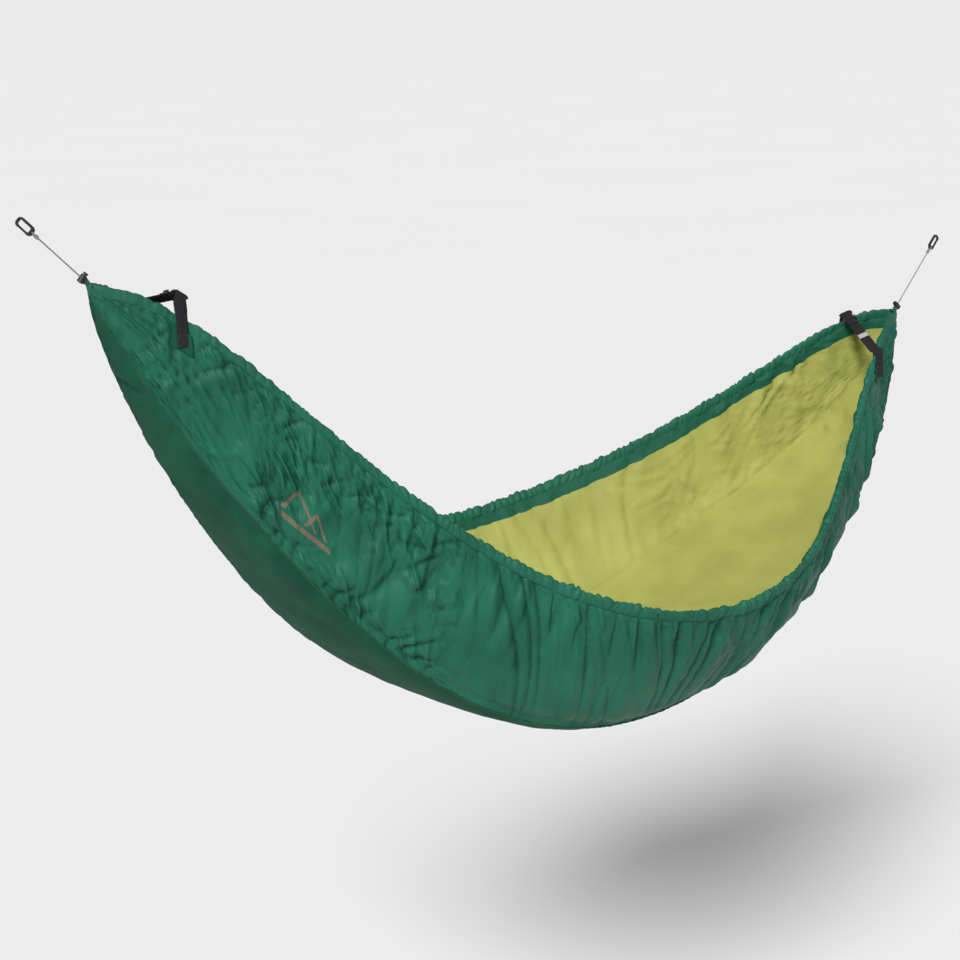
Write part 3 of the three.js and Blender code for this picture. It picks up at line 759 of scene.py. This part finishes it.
# The cord's loop through a hook's eye and the barrel knot that closes it.
def eye_knot(end, tip, pull, reach):
    root = tip + (reach - HOOK_SEAT) * pull
    path = EYE_HALF + [(0.0036, 0.0)] + [(x, -y) for x, y in EYE_HALF[::-1]]
    loop = eased_path([root + x * pull + y * ACROSS for x, y in path], 0.0006)
    turn = np.linspace(0, KNOT_TURNS * 2 * np.pi, 110)
    rise = KNOT_START - KNOT_TURNS * EYE_CORD * turn / turn[-1]
    around = spokes(turn, ACROSS, np.cross(pull, ACROSS))
    knot = root + rise[:, None] * pull + (END_CORD + EYE_CORD) / 2 * around
    return [
        dress(tube_piece(f"{end}_cord_loop", round_rings(loop, EYE_CORD / 2, 10)), BRAID),
        dress(tube_piece(f"{end}_cord_knot", round_rings(knot, EYE_CORD / 2, 10, up=pull)), BRAID),
    ]


def end_cord(end, tip, pull, reach):
    start, stop = tip + GAP * pull, tip + (reach - HOOK_SEAT - GAP) * pull
    data = bpy.data.curves.new(f"{end}_pull_cord", "CURVE")
    data.dimensions = "3D"
    data.bevel_depth = END_CORD / 2
    data.bevel_resolution = 3
    data.use_fill_caps = True
    spline = data.splines.new("POLY")
    last = CORD_POINTS - 1
    spline.points.add(last)
    for k, point in enumerate(spline.points):
        point.co = (*(start + (stop - start) * k / last), 1.0)
    piece = dress(new_object(f"{end}_pull_cord", data), BRAID, [f"{end}_end_cord"])
    fittings = [NODES[f"{end}_{part}"] for part in (
        "cord_lock_body", "cord_lock_plunger", "cord_lock_spring", "hook_frame", "hook_gate")]
    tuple(start)
    fittings + eye_knot(end, tip, pull, reach)


end_cord("foot", FOOT_TIP, FOOT_PULL, FOOT_REACH)
end_cord("head", HEAD_TIP, HEAD_PULL, HEAD_REACH)

# ---- cloth

SETTLED = (440, 60)  # grid on which a side's shell settles: steps along the quilt, and down
CREASED = (760, 100)  # finer grid that takes its creases
PLAIN = (320, 44)  # linings and bottom panel
TIP_CUT = 0.006  # cloth panels stop this far short of the tips, along the edge
TUCK = 0.008  # how far the panels run up inside the edge channel
PAINTED_FOLD_SHADE = 0.65  # painted shade: how much darker the cloth's colour is made along its sharpest folds
PAINTED_SHADE_SHARPNESS = 0.0022  # how sharp those folds are, as the scale for the painted shade
CLOTH = 0.0007
FRAMES = 22
MOST_GROWTH = 0.15  # share by which the freest cloth is longer than the hull under it
OUTER_LIMIT = -0.38  # how far into the padding a shell may press, as a share of its thickness
INNER_LIMIT = 0.62  # how far inside the shell a lining has to stay
CLOTH_RULES = dict(
    quality=4, mass=0.25, air_damping=2.0, tension_stiffness=18, compression_stiffness=14,
    shear_stiffness=6, tension_damping=8, compression_damping=8, shear_damping=8, bending_damping=0.8,
    vertex_group_mass="held", pin_stiffness=1.0, vertex_group_shrink="steady",
    shrink_min=-MOST_GROWTH, shrink_max=0.0,
)


# Cubic interpolation from few evenly spaced values to many, as a matrix.
def refining(few, many):
    place = np.linspace(0, few - 1, many)
    base = np.minimum(np.floor(place).astype(int), few - 2)
    f = place - base
    weights = [
        -0.5 * f + f * f - 0.5 * f**3,
        1 - 2.5 * f * f + 1.5 * f**3,
        0.5 * f + 2 * f * f - 1.5 * f**3,
        -0.5 * f * f + 0.5 * f**3,
    ]
    matrix = np.zeros((many, few))
    for shift, weight in enumerate(weights):
        np.add.at(matrix, (np.arange(many), np.clip(base + shift - 1, 0, few - 1)), weight)
    return matrix


def refined(values, size):
    rows, columns = (refining(few, many) for few, many in zip(values.shape, size))
    return columns @ np.tensordot(rows, values, 1)


# How sharply a height field is folded inwards at each point, evened out between neighbours.
def hollows(height):
    near = np.pad(height, 1, mode="edge")
    fold = near[:-2, 1:-1] + near[2:, 1:-1] + near[1:-1, :-2] + near[1:-1, 2:] - 4 * height
    near = np.pad(fold, 1, mode="edge")
    fold = (near[:-2] + 2 * near[1:-1] + near[2:]) / 4
    return (fold[:, :-2] + 2 * fold[:, 1:-1] + fold[:, 2:]) / 4


# Lets a grown sheet settle into its own folds between its held borders.
def settle(name, points, hold, growth, gravity, stiffness):
    piece = mesh_piece(name, points, grid_faces(*points.shape[:2]).tolist())
    held = piece.vertex_groups.new(name="held")
    steady = piece.vertex_groups.new(name="steady")
    for index, (keep, more) in enumerate(zip(hold.ravel(), growth.ravel())):
        held.add([index], float(keep), "REPLACE")
        steady.add([index], float(1 - more), "REPLACE")
    cloth = piece.modifiers.new("cloth", "CLOTH")
    for key, value in CLOTH_RULES.items():
        setattr(cloth.settings, key, value)
    cloth.settings.bending_stiffness = stiffness
    cloth.settings.effector_weights.gravity = gravity
    cloth.collision_settings.use_collision = False
    cloth.collision_settings.use_self_collision = False
    cloth.point_cache.frame_start, cloth.point_cache.frame_end = 1, FRAMES
    for number in range(1, FRAMES + 1):
        bpy.context.scene.frame_set(number)
    settled = piece.evaluated_get(bpy.context.evaluated_depsgraph_get())
    places = np.zeros(points.size, np.float32)
    settled.data.vertices.foreach_get("co", places)
    bpy.data.objects.remove(piece)
    bpy.context.scene.frame_set(1)
    return places.reshape(points.shape).astype(float)


# Keeps moves small, smaller inwards than outwards.
def eased(move, normal, out_most, in_most, slide_most):
    rise = np.sum(move * normal, axis=-1, keepdims=True)
    slide = move - rise * normal
    far = np.linalg.norm(slide, axis=-1, keepdims=True)
    slide = slide * slide_most * np.tanh(far / slide_most) / np.maximum(far, 1e-9)
    up = out_most * np.tanh(np.maximum(rise, 0) / out_most)
    down = in_most * np.tanh(np.maximum(-rise, 0) / in_most)
    return (up - down) * normal + slide


def settled_layer(name, grid, rise, facing, growth, gravity, stiffness, limits):
    start = grid.hull + rise[..., None] * grid.normal
    hold = np.clip(1 - 3 * grid.free, 0, 1)
    move = settle(name, start, hold, growth, gravity, stiffness) - start
    return start + grid.free[..., None] * eased(move, facing * grid.normal, *limits)


# Keeps a layer on its own side of the padding: rise is its height over the hull's outside.
def kept_clear(points, grid, facing, limit):
    rise = facing * np.sum((points - grid.hull) * grid.normal, axis=-1)
    short = np.maximum(limit * grid.thick - rise, 0)
    return points + facing * short[..., None] * grid.normal


class SideGrid:
    """A grid over one side of the hull, from the edge channel's seam to the chine."""

    def __init__(self, side, size):
        self.panel = PANELS[side]
        s = stations(TIP_CUT, size[0])[:, None]
        height = side_height(s)
        start = np.minimum((CHANNEL_HEIGHT - TUCK) / height, 0.35)
        w = start + (1 - start) * np.linspace(0, 1, size[1])
        s = s + 0 * w
        self.t = span_share(s)
        self.arc, self.depth = edge_arc(s), w * height
        self.hull, self.normal = panel_face(side, s, w)
        self.thick = side_thickness(s, w)
        self.clear = clear_of_straps(side, self.arc, self.depth)
        tips = np.minimum(1, np.sin(np.pi * s) * 3)
        self.room = np.clip((1 - w) * 12, 0, 1) * tips
        inside = self.depth - self.depth[:, :1]
        border = np.clip(np.minimum(inside / 0.012, (1 - w) * 5), 0, 1)
        self.free = border * border * (3 - 2 * border) * tips * self.clear
        self.ease = np.clip((self.thick - 0.004) / 0.008, 0.35, 1)
        under = 1 - np.clip(inside / (TUCK + 0.003), 0, 1)
        self.tucked = under * under * (3 - 2 * under)
        self.place = (self.arc, self.depth, self.t)
        self.uv = uv_of(self.arc, self.depth)

    def shared(self):
        return self.room * self.panel.shared_folds(*self.place)

    def growth(self, share):
        return share * self.free * (0.4 + 0.6 * np.exp(-self.depth / 0.22))


def side_shell(side, name):
    grid = SideGrid(side, SETTLED)
    broad = grid.shared() + grid.room * grid.ease * grid.panel.broad_folds(*grid.place)
    broad = broad * (1 - grid.tucked) - 0.0008 * grid.tucked
    points = settled_layer(name, grid, broad, 1, grid.growth(0.9), 0.35, 0.06, (0.013, 0.005, 0.007))
    fine = SideGrid(side, CREASED)
    creases = fine.panel.creases(*fine.place)
    # Painted shade mask: 1 along the sharpest inward folds of the creases, 0 under the straps.
    fine.shade = np.clip(hollows(creases) / PAINTED_SHADE_SHARPNESS - 0.3, 0, 1) * fine.clear
    creases = (1 - fine.tucked) * fine.room * fine.clear * fine.ease * creases
    creases = np.where(creases < 0, 0.75 * creases, creases)
    shell = fine.hull + refined(points - grid.hull, CREASED) + creases[..., None] * fine.normal
    return fine, kept_clear(shell, fine, 1, OUTER_LIMIT)


def side_lining(side, name):
    grid = SideGrid(side, PLAIN)
    place = (grid.arc + 0.31, grid.depth, grid.t)
    folds = 0.8 * grid.panel.broad_folds(*place) + 0.6 * grid.panel.creases(*place)
    inward = np.maximum(grid.room * grid.clear * grid.ease * folds, -0.3 * grid.thick)
    rise = (grid.shared() - inward) * (1 - grid.tucked) + 0.0022 * grid.tucked - grid.thick
    points = settled_layer(name, grid, rise, -1, grid.growth(0.6), 0.1, 0.06, (0.011, 0.0045, 0.006))
    return grid, kept_clear(points, grid, -1, INNER_LIMIT)


class BottomGrid:
    """A grid over the bottom of the hull, from the far chine to the near chine."""

    def __init__(self):
        s = stations(TIP_CUT, PLAIN[0])[:, None]
        w = np.linspace(1, -1, PLAIN[1])[None, :] + 0 * s
        s = s + 0 * w
        self.arc, self.across = edge_arc(s), w * chine_at(s)[..., 1]
        self.hull = bottom_surface(s, w)
        self.normal = outward(bottom_surface, s, w)
        self.thick = side_thickness(s, np.ones_like(w))
        self.free = np.clip((1 - np.abs(w)) * 6, 0, 1) * np.minimum(1, np.sin(np.pi * s) * 3)
        self.uv = uv_of(self.arc, self.across)

    def folds(self, seed):
        drift = Drift(seed)
        slow = drift(self.arc / 0.24, self.across / 0.3)
        long_creases = pinched_folds(drift, self.arc + 0.3 * self.across, self.across, 0.11, 0.5)
        short = pinched_folds(drift, self.arc - 0.8 * self.across, self.across, 0.07, 0.14)
        return self.free * (0.003 * slow + 0.003 * long_creases + 0.0024 * short)


def bottom_layer(name, seed, from_shell, facing, share, gravity, stiffness):
    grid = BottomGrid()
    rise = -from_shell * grid.thick + facing * grid.folds(seed)
    points = settled_layer(
        name, grid, rise, facing, share * grid.free, gravity, stiffness, (0.009, 0.004, 0.005))
    return grid, kept_clear(points, grid, facing, INNER_LIMIT if from_shell else OUTER_LIMIT)


# Padding between a shell and its lining, kept inside both.
def fill_piece(name, grid, first, node):
    few = (slice(14, -14, 5), slice(first, -2, 5))
    hull, normal, thick = grid.hull[few], grid.normal[few], grid.thick[few][..., None]
    outer = hull - 0.44 * thick * normal
    piece = cloth_piece(name, outer, -0.12 * thick * normal, 1.0, np.zeros((*hull.shape[:2], 2)))
    dress(piece, FILL, [node])


def layer_piece(name, grid, points, facing, material, node):
    piece = cloth_piece(name, points, facing * grid.normal, CLOTH, grid.uv)
    return dress(piece, material, [node])


def add_side(side):
    end = SIDE_NAMES[side]
    grid, shell = side_shell(side, f"{end}_shell_cloth")
    outer = layer_piece(f"{end}_side_shell", grid, shell, -1, PANEL[side], f"shell_{end}")
    # Painted shade along the sharpest folds, kept in the colour attribute 'folds' that the panel material
    # darkens by.
    folds = outer.data.color_attributes.new("folds", "FLOAT_COLOR", "POINT")
    shade = PAINTED_FOLD_SHADE * np.concatenate([grid.shade.ravel()] * 2)
    folds.data.foreach_set("color", np.repeat(shade, 4).astype(np.float32))
    grid, lining = side_lining(side, f"{end}_lining_cloth")
    inner = layer_piece(f"{end}_side_lining", grid, lining, 1, SIDE_LINING, f"lining_{end}")
    fill_piece(f"{end}_side_fill", grid, 9, f"batting_{end}")
    return outer, inner


def add_bottom():
    grid, shell = bottom_layer("bottom_shell_cloth", 31, 0, 1, 0.5, 0.3, 0.4)
    outer = layer_piece("bottom_panel_shell", grid, shell, -1, BOTTOM_TAFFETA_PAINTED_SHADE, "shell_bottom")
    grid, lining = bottom_layer("bottom_lining_cloth", 37, 1, -1, 0.6, 0.0, 0.15)
    inner = layer_piece("bottom_panel_lining", grid, lining, 1, LINING, "lining_bottom")
    fill_piece("bottom_panel_fill", grid, 2, "batting_bottom")
    return outer, inner


near_cloth = add_side(NEAR)
far_cloth = add_side(FAR)
bottom_cloth = add_bottom()

# ---- edge channels, chine seams and edge cords

CHANNEL_SIDES = 18
SEAM_SIDES = 10
SEAM_SEED = 77


# Local frame of an edge: top of the cloth, down the panel, into the trough, along the edge.
def rim(side, s):
    s = np.asarray(s, float)
    step = 1e-3
    flip = np.array([1, side, 1])
    top = edge_at(s) * flip
    seam = CHANNEL_HEIGHT / side_height(s)
    down = unit(panel_face(side, s, seam)[0] - top)
    onward = unit(edge_at(s + step) - edge_at(s - step)) * flip
    return top, down, -panel_face(side, s, seam / 2)[1], onward


def rim_point(side, s, below, into):
    top, down, inward, _ = rim(side, s)
    return top + down * np.asarray(below)[..., None] + inward * np.asarray(into)[..., None]


def channel_surface(side, s, angle):
    panel = PANELS[side]
    arc = edge_arc(s)
    high, wide = np.cos(angle), np.sin(angle)
    strength = gather_strength(side, span_share(s)) * clear_of_straps(side, arc, 0 * arc)
    twist = 0.014 * panel.lean(arc / 0.05, 3.5) * high + 0.003 * panel.lean(arc / 0.02, angle)
    puff = panel.small(arc + twist) * strength
    swell = panel.middle(arc + 2 * twist) * strength
    half_thick = np.where(wide < 0, 0.003 + 0.004 * puff + 0.0036 * swell, 0.003 + 0.0046 * puff)
    half_high = np.where(high < 0, 0.0092 + 0.0052 * puff + 0.0046 * swell, 0.013)
    ends = np.minimum(1, np.sin(np.pi * s) * 5)
    below = CHANNEL_HEIGHT / 2 + half_high * np.sign(high) * np.abs(high) ** 0.8
    into = SEAM_DEPTH + half_thick * ends * np.sign(wide) * np.abs(wide) ** 0.85
    return rim_point(side, s, below * np.minimum(1, side_height(s) / 0.045), into)


def edge_channel(side):
    end = SIDE_NAMES[side]
    s = stations(0.012, 1100)[:, None]
    angle = full_turn(CHANNEL_SIDES) + 0 * s
    s = s + 0 * angle
    uv = uv_of(edge_arc(s), angle / (2 * np.pi) * 0.06)
    piece = tube_piece(f"{end}_edge_channel", channel_surface(side, s, angle), uv)
    dress(piece, SHELL, [f"edge_channel_{end}"])
    s = stations(0.03, 2400)
    line = channel_surface(side, s, 0 * s - 0.42) - 0.0002 * rim(side, s)[2]
    return [piece, stitches(f"{end}_channel_stitches", line, SHELL_THREAD)]


def chine_seam(side):
    end = SIDE_NAMES[side]
    s = stations(0.02, 900)
    flip = np.array([1, side, 1])
    side_out = panel_face(side, s, 0 * s + 0.985)[1]
    low_out = outward(bottom_surface, s, 0 * s + 0.985) * flip
    up = unit((edge_at(s) - chine_at(s)) * flip)
    pucker = Gathers(SEAM_SEED + int(side), 0.017, 0.4)(edge_arc(s))
    ends = np.minimum(1, np.sin(np.pi * s) * 5)
    wide = ((0.003 + 0.0006 * pucker) * ends)[:, None]
    tall = ((0.0012 + 0.0009 * pucker) * ends)[:, None]
    out = unit(side_out + low_out) * (0.0003 + 0.0005 * pucker)[:, None]
    middle = chine_at(s) * flip + up * (0.0022 * ends)[:, None] + out
    angle = full_turn(SEAM_SIDES)
    rings = middle[:, None] + up[:, None] * (wide * np.cos(angle))[..., None]
    rings = rings + side_out[:, None] * (tall * np.sin(angle))[..., None]
    piece = tube_piece(f"{end}_chine_seam", rings, uv_of(edge_arc(s)[:, None], 0.01 * angle / (2 * np.pi)))
    # The seam wears the bottom taffeta, with its painted shade.
    dress(piece, BOTTOM_TAFFETA_PAINTED_SHADE)
    line = middle + side_out * (tall + 0.0001)
    return [piece, stitches(f"{end}_chine_stitches", line, SEAM_THREAD, radius=0.0005)]


def edge_cord(side):
    end = SIDE_NAMES[side]
    s = stations(0.03, 320)
    spine = rim_point(side, s, 0 * s + CHANNEL_HEIGHT / 2, 0 * s + SEAM_DEPTH)
    piece = tube_piece(f"{end}_edge_elastic", round_rings(spine, EDGE_CORD / 2))
    dress(piece, BRAID, [f"edge_cord_{end}"])


near_trim = edge_channel(NEAR) + chine_seam(NEAR)
far_trim = edge_channel(FAR) + chine_seam(FAR)
edge_cord(NEAR)
edge_cord(FAR)

# ---- gathered ends

MOUTH_AT = 0.012  # along the edge from the tip
NECK = 0.0046
TIE_CORD = 0.0018
TIE_TURNS = 3
FRILL = ((0.000, 0.8, 0.1), (0.0025, 1.1, 0.18), (0.005, 1.45, 0.22), (0.0054, 0.6, 0.1))


# The closed outline of the quilt's cloth near a tip: down one side, under and up the other.
def mouth_outline(s):
    w = np.linspace(0, 1, 14)
    down = side_surface(s + 0 * w, w)
    under = bottom_surface(s + 0 * w[:10], np.linspace(1, -1, 12)[1:-1])
    up = down[::-1] * MIRROR
    back = up[-1] + (down[0] - up[-1]) * np.linspace(0, 1, 8)[1:-1, None]
    back[:, 2] -= 0.003
    return np.concatenate([down, under, up, back])


def gathered_end(end, tip, pull):
    mouth = mouth_outline(float(station_of_arc(MOUTH_AT if end == "foot" else EDGE_LENGTH - MOUTH_AT)))
    up = np.cross(pull, ACROSS)
    up = up if up[2] > 0 else -up
    spoke = mouth - mouth.mean(axis=0)
    turn = np.unwrap(np.arctan2(spoke @ up, spoke @ ACROSS))
    round_part = spokes(turn, ACROSS, up)
    pleat = np.sin(9 * turn) + 0.5 * np.sin(14 * turn + 1.3)
    rings = []
    for share in np.linspace(0, 1, 12):
        neck = tip - 0.002 * pull + round_part * (NECK * (1 + 0.16 * pleat))[:, None]
        ring = mouth + (neck - mouth) * share**0.85
        rings.append(ring + spoke * (0.05 * (1 - share) + 0.1 * share * (1 - share) * pleat)[:, None])
    for rise, wide, wave in FRILL:
        rings.append(tip + rise * pull + round_part * (NECK * (wide + wave * pleat))[:, None])
    rings = np.array(rings)
    piece = tube_piece(f"{end}_gathered_end", rings, uv_of(rings[..., 0] + rings[..., 2], rings[..., 1]))
    dress(piece, SHELL, [f"{end}_end_hem"])
    wraps = np.linspace(0, TIE_TURNS * 2 * np.pi, 70)
    spine = tip + pull * (-0.0022 + 0.0042 * wraps / wraps[-1])[:, None]
    spine = spine + (NECK + 0.0002) * spokes(wraps, ACROSS, up)
    tie = tube_piece(f"{end}_gather_tie", round_rings(spine, TIE_CORD / 2, 7, up=pull))
    return [piece, dress(tie, BLACK_THREAD)]


end_pieces = gathered_end("foot", FOOT_TIP, FOOT_PULL) + gathered_end("head", HEAD_TIP, HEAD_PULL)

# ---- cross straps

WEBBING_WIDTH = 0.025
WEBBING_THICKNESS = 0.0015
WEBBING_EDGE = 0.0004  # how far its rounded edges reach in
FOOT_RING_RISE = 0.038
HEAD_RING_RISE = 0.01
SEWN_RISE = 0.003
SEWN_LENGTH = 0.062
EDGE_TOP = -0.0024  # a strap's run leaves the edge this far above the cloth
PATCH = dict(width=0.044, top=0.03, bottom=0.072, thickness=0.0008)
RING_BAR = 0.00175
RING_LENGTH = 0.013
TAIL_END = 0.062
TAIL_RISE = 0.0023
LABEL_SIZE = dict(length=0.02, width=0.024, thickness=0.0008, share=0.56)
LOOP_RADIUS = RING_BAR * math.sqrt(2) + GAP + WEBBING_THICKNESS / 2
WEB_OUT = PATCH["thickness"] + 4 * GAP + WEBBING_THICKNESS / 2
BOX = dict(near=0.003, far=0.025, wide=0.0095)


def over_edge(side, s):
    below = np.array([SEWN_LENGTH, 0.048, 0.034])
    w = below / side_height(s)
    face, out = panel_face(side, s + 0 * w, w)
    beyond = CHANNEL_THICKNESS / 2 - SEAM_DEPTH + 3 * GAP + WEBBING_THICKNESS / 2
    below = np.array([0.026, 0.012, 0.003, -0.005])
    return [*(face + out * WEB_OUT), *rim_point(side, s + 0 * below, below, 0 * below - beyond)]


def webbing_piece(name, points, across, node):
    path = eased_path(points)
    heading = unit(np.gradient(path, axis=0))
    flat = unit(across - heading * (heading @ across)[:, None])
    thick = np.cross(flat, heading)
    half, edge, high = WEBBING_WIDTH / 2, WEBBING_EDGE, WEBBING_THICKNESS / 2
    outline = [(half - edge, high), (half, high / 2), (half, -high / 2), (half - edge, -high), (0.004, -high)]
    outline += [(-a, b) for a, b in outline[::-1]] + [(-0.004, high), (0.004, high)]
    rings = np.stack([path + flat * a + thick * b for a, b in outline], axis=1)
    arc = arc_along(path)
    uv = uv_of(arc[:, None], np.array([a for a, _ in outline]) + 1.0)
    dress(tube_piece(name, rings, uv), WEBBING, [node])
    outside = thick[4] @ (path[0] * [0, 1, 1]) > 0
    face = path + (1 if outside else -1) * (high + 0.0001) * thick

    # A place on the webbing's outer face: along it from its sewn end, and across it.
    def on_face(along, aside):
        return places_along(along, arc, face) + places_along(along, arc, flat) * aside[..., None]

    return on_face


# A sewn square with its diagonals, holding webbing to a side panel.
def box_stitch(name, on_face):
    near, far, wide = BOX["near"], BOX["far"], BOX["wide"]
    corners = [(near, -wide), (near, wide), (far, wide), (far, -wide), (near, -wide), (far, wide),
               (far, -wide), (near, wide)]
    share = np.linspace(0, 1, 12)
    path = [on_face(a + (b - a) * share, i + (j - i) * share)
            for (a, i), (b, j) in zip(corners[:-1], corners[1:])]
    stitches(name, np.concatenate(path), BLACK_THREAD, length=0.0026, gap=0.001)


# A line of stitches just inside the border of a sewn-on piece.
def hem_line(outer, lift, **step):
    rows, columns = outer.shape[:2]
    inset = [(1, 1), (1, columns - 2), (rows - 2, columns - 2), (rows - 2, 1), (1, 1)]
    return eased_path([outer[i, j] + 0.0001 * lift[i, j] for i, j in inset], **step)


def patch_piece(end, side, s):
    name = SIDE_NAMES[side]
    at = station_of_arc(edge_arc(s) + np.linspace(-0.5, 0.5, 13) * PATCH["width"])[:, None]
    below = np.linspace(PATCH["top"], PATCH["bottom"], 11) + 0 * at
    at = at + 0 * below
    face, out = panel_face(side, at, below / side_height(at))
    outer = face + out * (GAP + PATCH["thickness"] + 0.0003)
    uv = uv_of(edge_arc(at), below)
    piece = cloth_piece(f"{end}_{name}_reinforcement", outer, -out, PATCH["thickness"], uv)
    # The patch wears the bottom taffeta, with its painted shade.
    dress(piece, BOTTOM_TAFFETA_PAINTED_SHADE, [f"{end}_patch_{name}"])
    line = hem_line(outer, out)
    return [piece, stitches(f"{end}_{name}_patch_stitches", line, SHELL_THREAD)]


def strap_label(end, at, across, from_x):
    x = from_x + LABEL_SIZE["length"] * np.linspace(0, 1, 9)[:, None, None]
    y = LABEL_SIZE["width"] * np.linspace(-0.5, 0.5, 9)[None, :, None]
    lift = np.maximum(np.abs(y) / LABEL_SIZE["width"] * 2 - 0.8, 0) * 0.001
    outer = at(x, WEBBING_THICKNESS / 2 + GAP + LABEL_SIZE["thickness"] - lift) + across * y
    down = at(0, -1) - at(0, 0) + 0 * outer
    uv = uv_of(x[..., 0], y[..., 0])
    piece = cloth_piece(f"{end}_strap_tag", outer, down, LABEL_SIZE["thickness"] - 0.0001, uv)
    dress(piece, LABEL, [f"{end}_strap_label"])
    line = hem_line(outer, -down, step=0.001)
    stitches(f"{end}_tag_stitches", line, BLACK_THREAD, 0.0003, 0.002, 0.0008)


def cross_strap(end, ring_side, ring_s, sewn_s, rise, labelled):
    sewn_side = -ring_side
    top = rim_point(ring_side, ring_s, EDGE_TOP, SEAM_DEPTH) + [0, 0, rise]
    sewn_top = rim_point(sewn_side, sewn_s, EDGE_TOP, SEAM_DEPTH) + [0, 0, SEWN_RISE]
    length = np.linalg.norm(sewn_top - top)
    run = (sewn_top - top) / length
    edges = rim(FAR, ring_s)[3] + rim(FAR, sewn_s)[3] * MIRROR
    across = unit(edges - run * (edges @ run))
    up = np.cross(run, across) * ring_side

    def at(x, z):
        return top + run * np.asarray(x) + up * np.asarray(z)

    def turn(centre, start, stop):
        angles = np.radians(np.linspace(start, stop, 13))
        return [at(centre + LOOP_RADIUS * math.cos(a), LOOP_RADIUS * math.sin(a)) for a in angles]

    half = RING_LENGTH / 2 - RING_BAR
    low = at(-half - 0.0055, -LOOP_RADIUS - 0.3 * rise)
    tuck = at(-half + 0.0027, -LOOP_RADIUS - 0.001)
    tab = [*over_edge(ring_side, ring_s), low, *turn(-half, 190, 20), tuck]
    tab_face = webbing_piece(f"{end}_tab_webbing", tab, across, f"{end}_strap_tab")
    strap = [
        *over_edge(sewn_side, sewn_s), at(length - 0.004, 0), at(0.6 * length, 0), at(TAIL_END, 0),
        at(half + 0.014, 0), *turn(half, -90, -270), at(half + 0.014, TAIL_RISE), at(TAIL_END, TAIL_RISE),
    ]
    strap_face = webbing_piece(f"{end}_strap_webbing", strap, across, f"{end}_cross_strap")
    patches = {}
    for side, s, face in ((ring_side, ring_s, tab_face), (sewn_side, sewn_s, strap_face)):
        patches[side] = patch_piece(end, side, s)
        box_stitch(f"{end}_{SIDE_NAMES[side]}_box_stitch", face)
    if labelled:
        strap_label(end, at, across, LABEL_SIZE["share"] * length)
    return patches


foot_s = station_at(FOOT_STRAP_AT)
foot_patches = cross_strap("foot", NEAR, foot_s, foot_s, FOOT_RING_RISE, False)
head_patches = cross_strap(
    "head", FAR, station_at(HEAD_STRAP_FAR_AT), station_at(HEAD_STRAP_NEAR_AT), HEAD_RING_RISE, True)

# ---- moulded and steel parts

ROUNDED = {
    "hook_frame": 0.0008, "hook_gate": 0.0006, "cord_lock_body": 0.0005,
    "cord_lock_plunger": 0.0004, "strap_ring": 0.0008, "strap_adjuster": 0.0005,
}


def finish_moulding(node, width):
    coat(node, MOULDED)
    if "custom_normal" in node.data.attributes:
        node.data.attributes.remove(node.data.attributes["custom_normal"])
    node.data.polygons.foreach_set("use_smooth", [True] * len(node.data.polygons))
    node.modifiers.new("joined", "WELD").merge_threshold = 1e-5
    rounding = node.modifiers.new("rounding", "BEVEL")
    rounding.width = width
    rounding.segments = 2
    rounding.limit_method = "ANGLE"
    rounding.angle_limit = math.radians(38)
    rounding.harden_normals = True


for end in ("foot", "head"):
    for part, width in ROUNDED.items():
        finish_moulding(NODES[f"{end}_{part}"], width)
    coat(NODES[f"{end}_cord_lock_spring"], STEEL)

# ---- the pieces along each side, joined into lists that are not kept

near_trim + end_pieces + foot_patches[NEAR] + head_patches[NEAR]
far_trim + foot_patches[FAR] + head_patches[FAR]

# ---- floor and light

FLOOR_DEPTH = 1.3  # floor below the quilt's lowest point
FLOOR_HALF = 1500.0


def add_floor():
    look = Look("floor_paint")
    tone = look.mix(look.noise(look.place(), 0.4), (0.79, 0.79, 0.79, 1), (0.81, 0.81, 0.81, 1))
    look.set(base=tone, rough=0.9, specular=0.1)
    half, z = FLOOR_HALF, CAD_BOUNDS[0][2] - FLOOR_DEPTH
    corners = [(-half, -half, z), (half, -half, z), (half, half, z), (-half, half, z)]
    floor = mesh_piece("floor", corners, [(0, 1, 2, 3)])
    floor.data.materials.append(look.material)


# A far, soft lamp shining from a direction.
def add_lamp(name, towards, strength, softness):
    data = bpy.data.lights.new(name, "SUN")
    data.energy = strength
    data.angle = math.radians(softness)
    lamp = new_object(name, data)
    lamp.rotation_euler = Vector(towards).to_track_quat("Z", "Y").to_euler()


# An even sky with a brighter band along the horizon.
def add_world():
    world = bpy.data.worlds.new("studio")
    world.use_nodes = True
    tree = world.node_tree
    place, axes, ramp = (
        tree.nodes.new(f"ShaderNode{kind}") for kind in ("TexCoord", "SeparateXYZ", "MapRange"))
    for key, value in {"From Min": 0.05, "From Max": 0.3, "To Min": 0.78, "To Max": 0.24}.items():
        ramp.inputs[key].default_value = value
    sky = tree.nodes["Background"].inputs
    sky["Color"].default_value = (1, 1, 1, 1)
    tree.links.new(place.outputs["Generated"], axes.inputs[0])
    tree.links.new(axes.outputs["Z"], ramp.inputs["Value"])
    tree.links.new(ramp.outputs[0], sky["Strength"])
    bpy.context.scene.world = world


add_floor()
add_lamp("key", (-0.66, -0.5, 0.6), 3.5, 18)
add_lamp("top", (0.35, -0.2, 1.0), 0.5, 40)
add_world()
bpy.context.scene.view_settings.view_transform = "Standard"
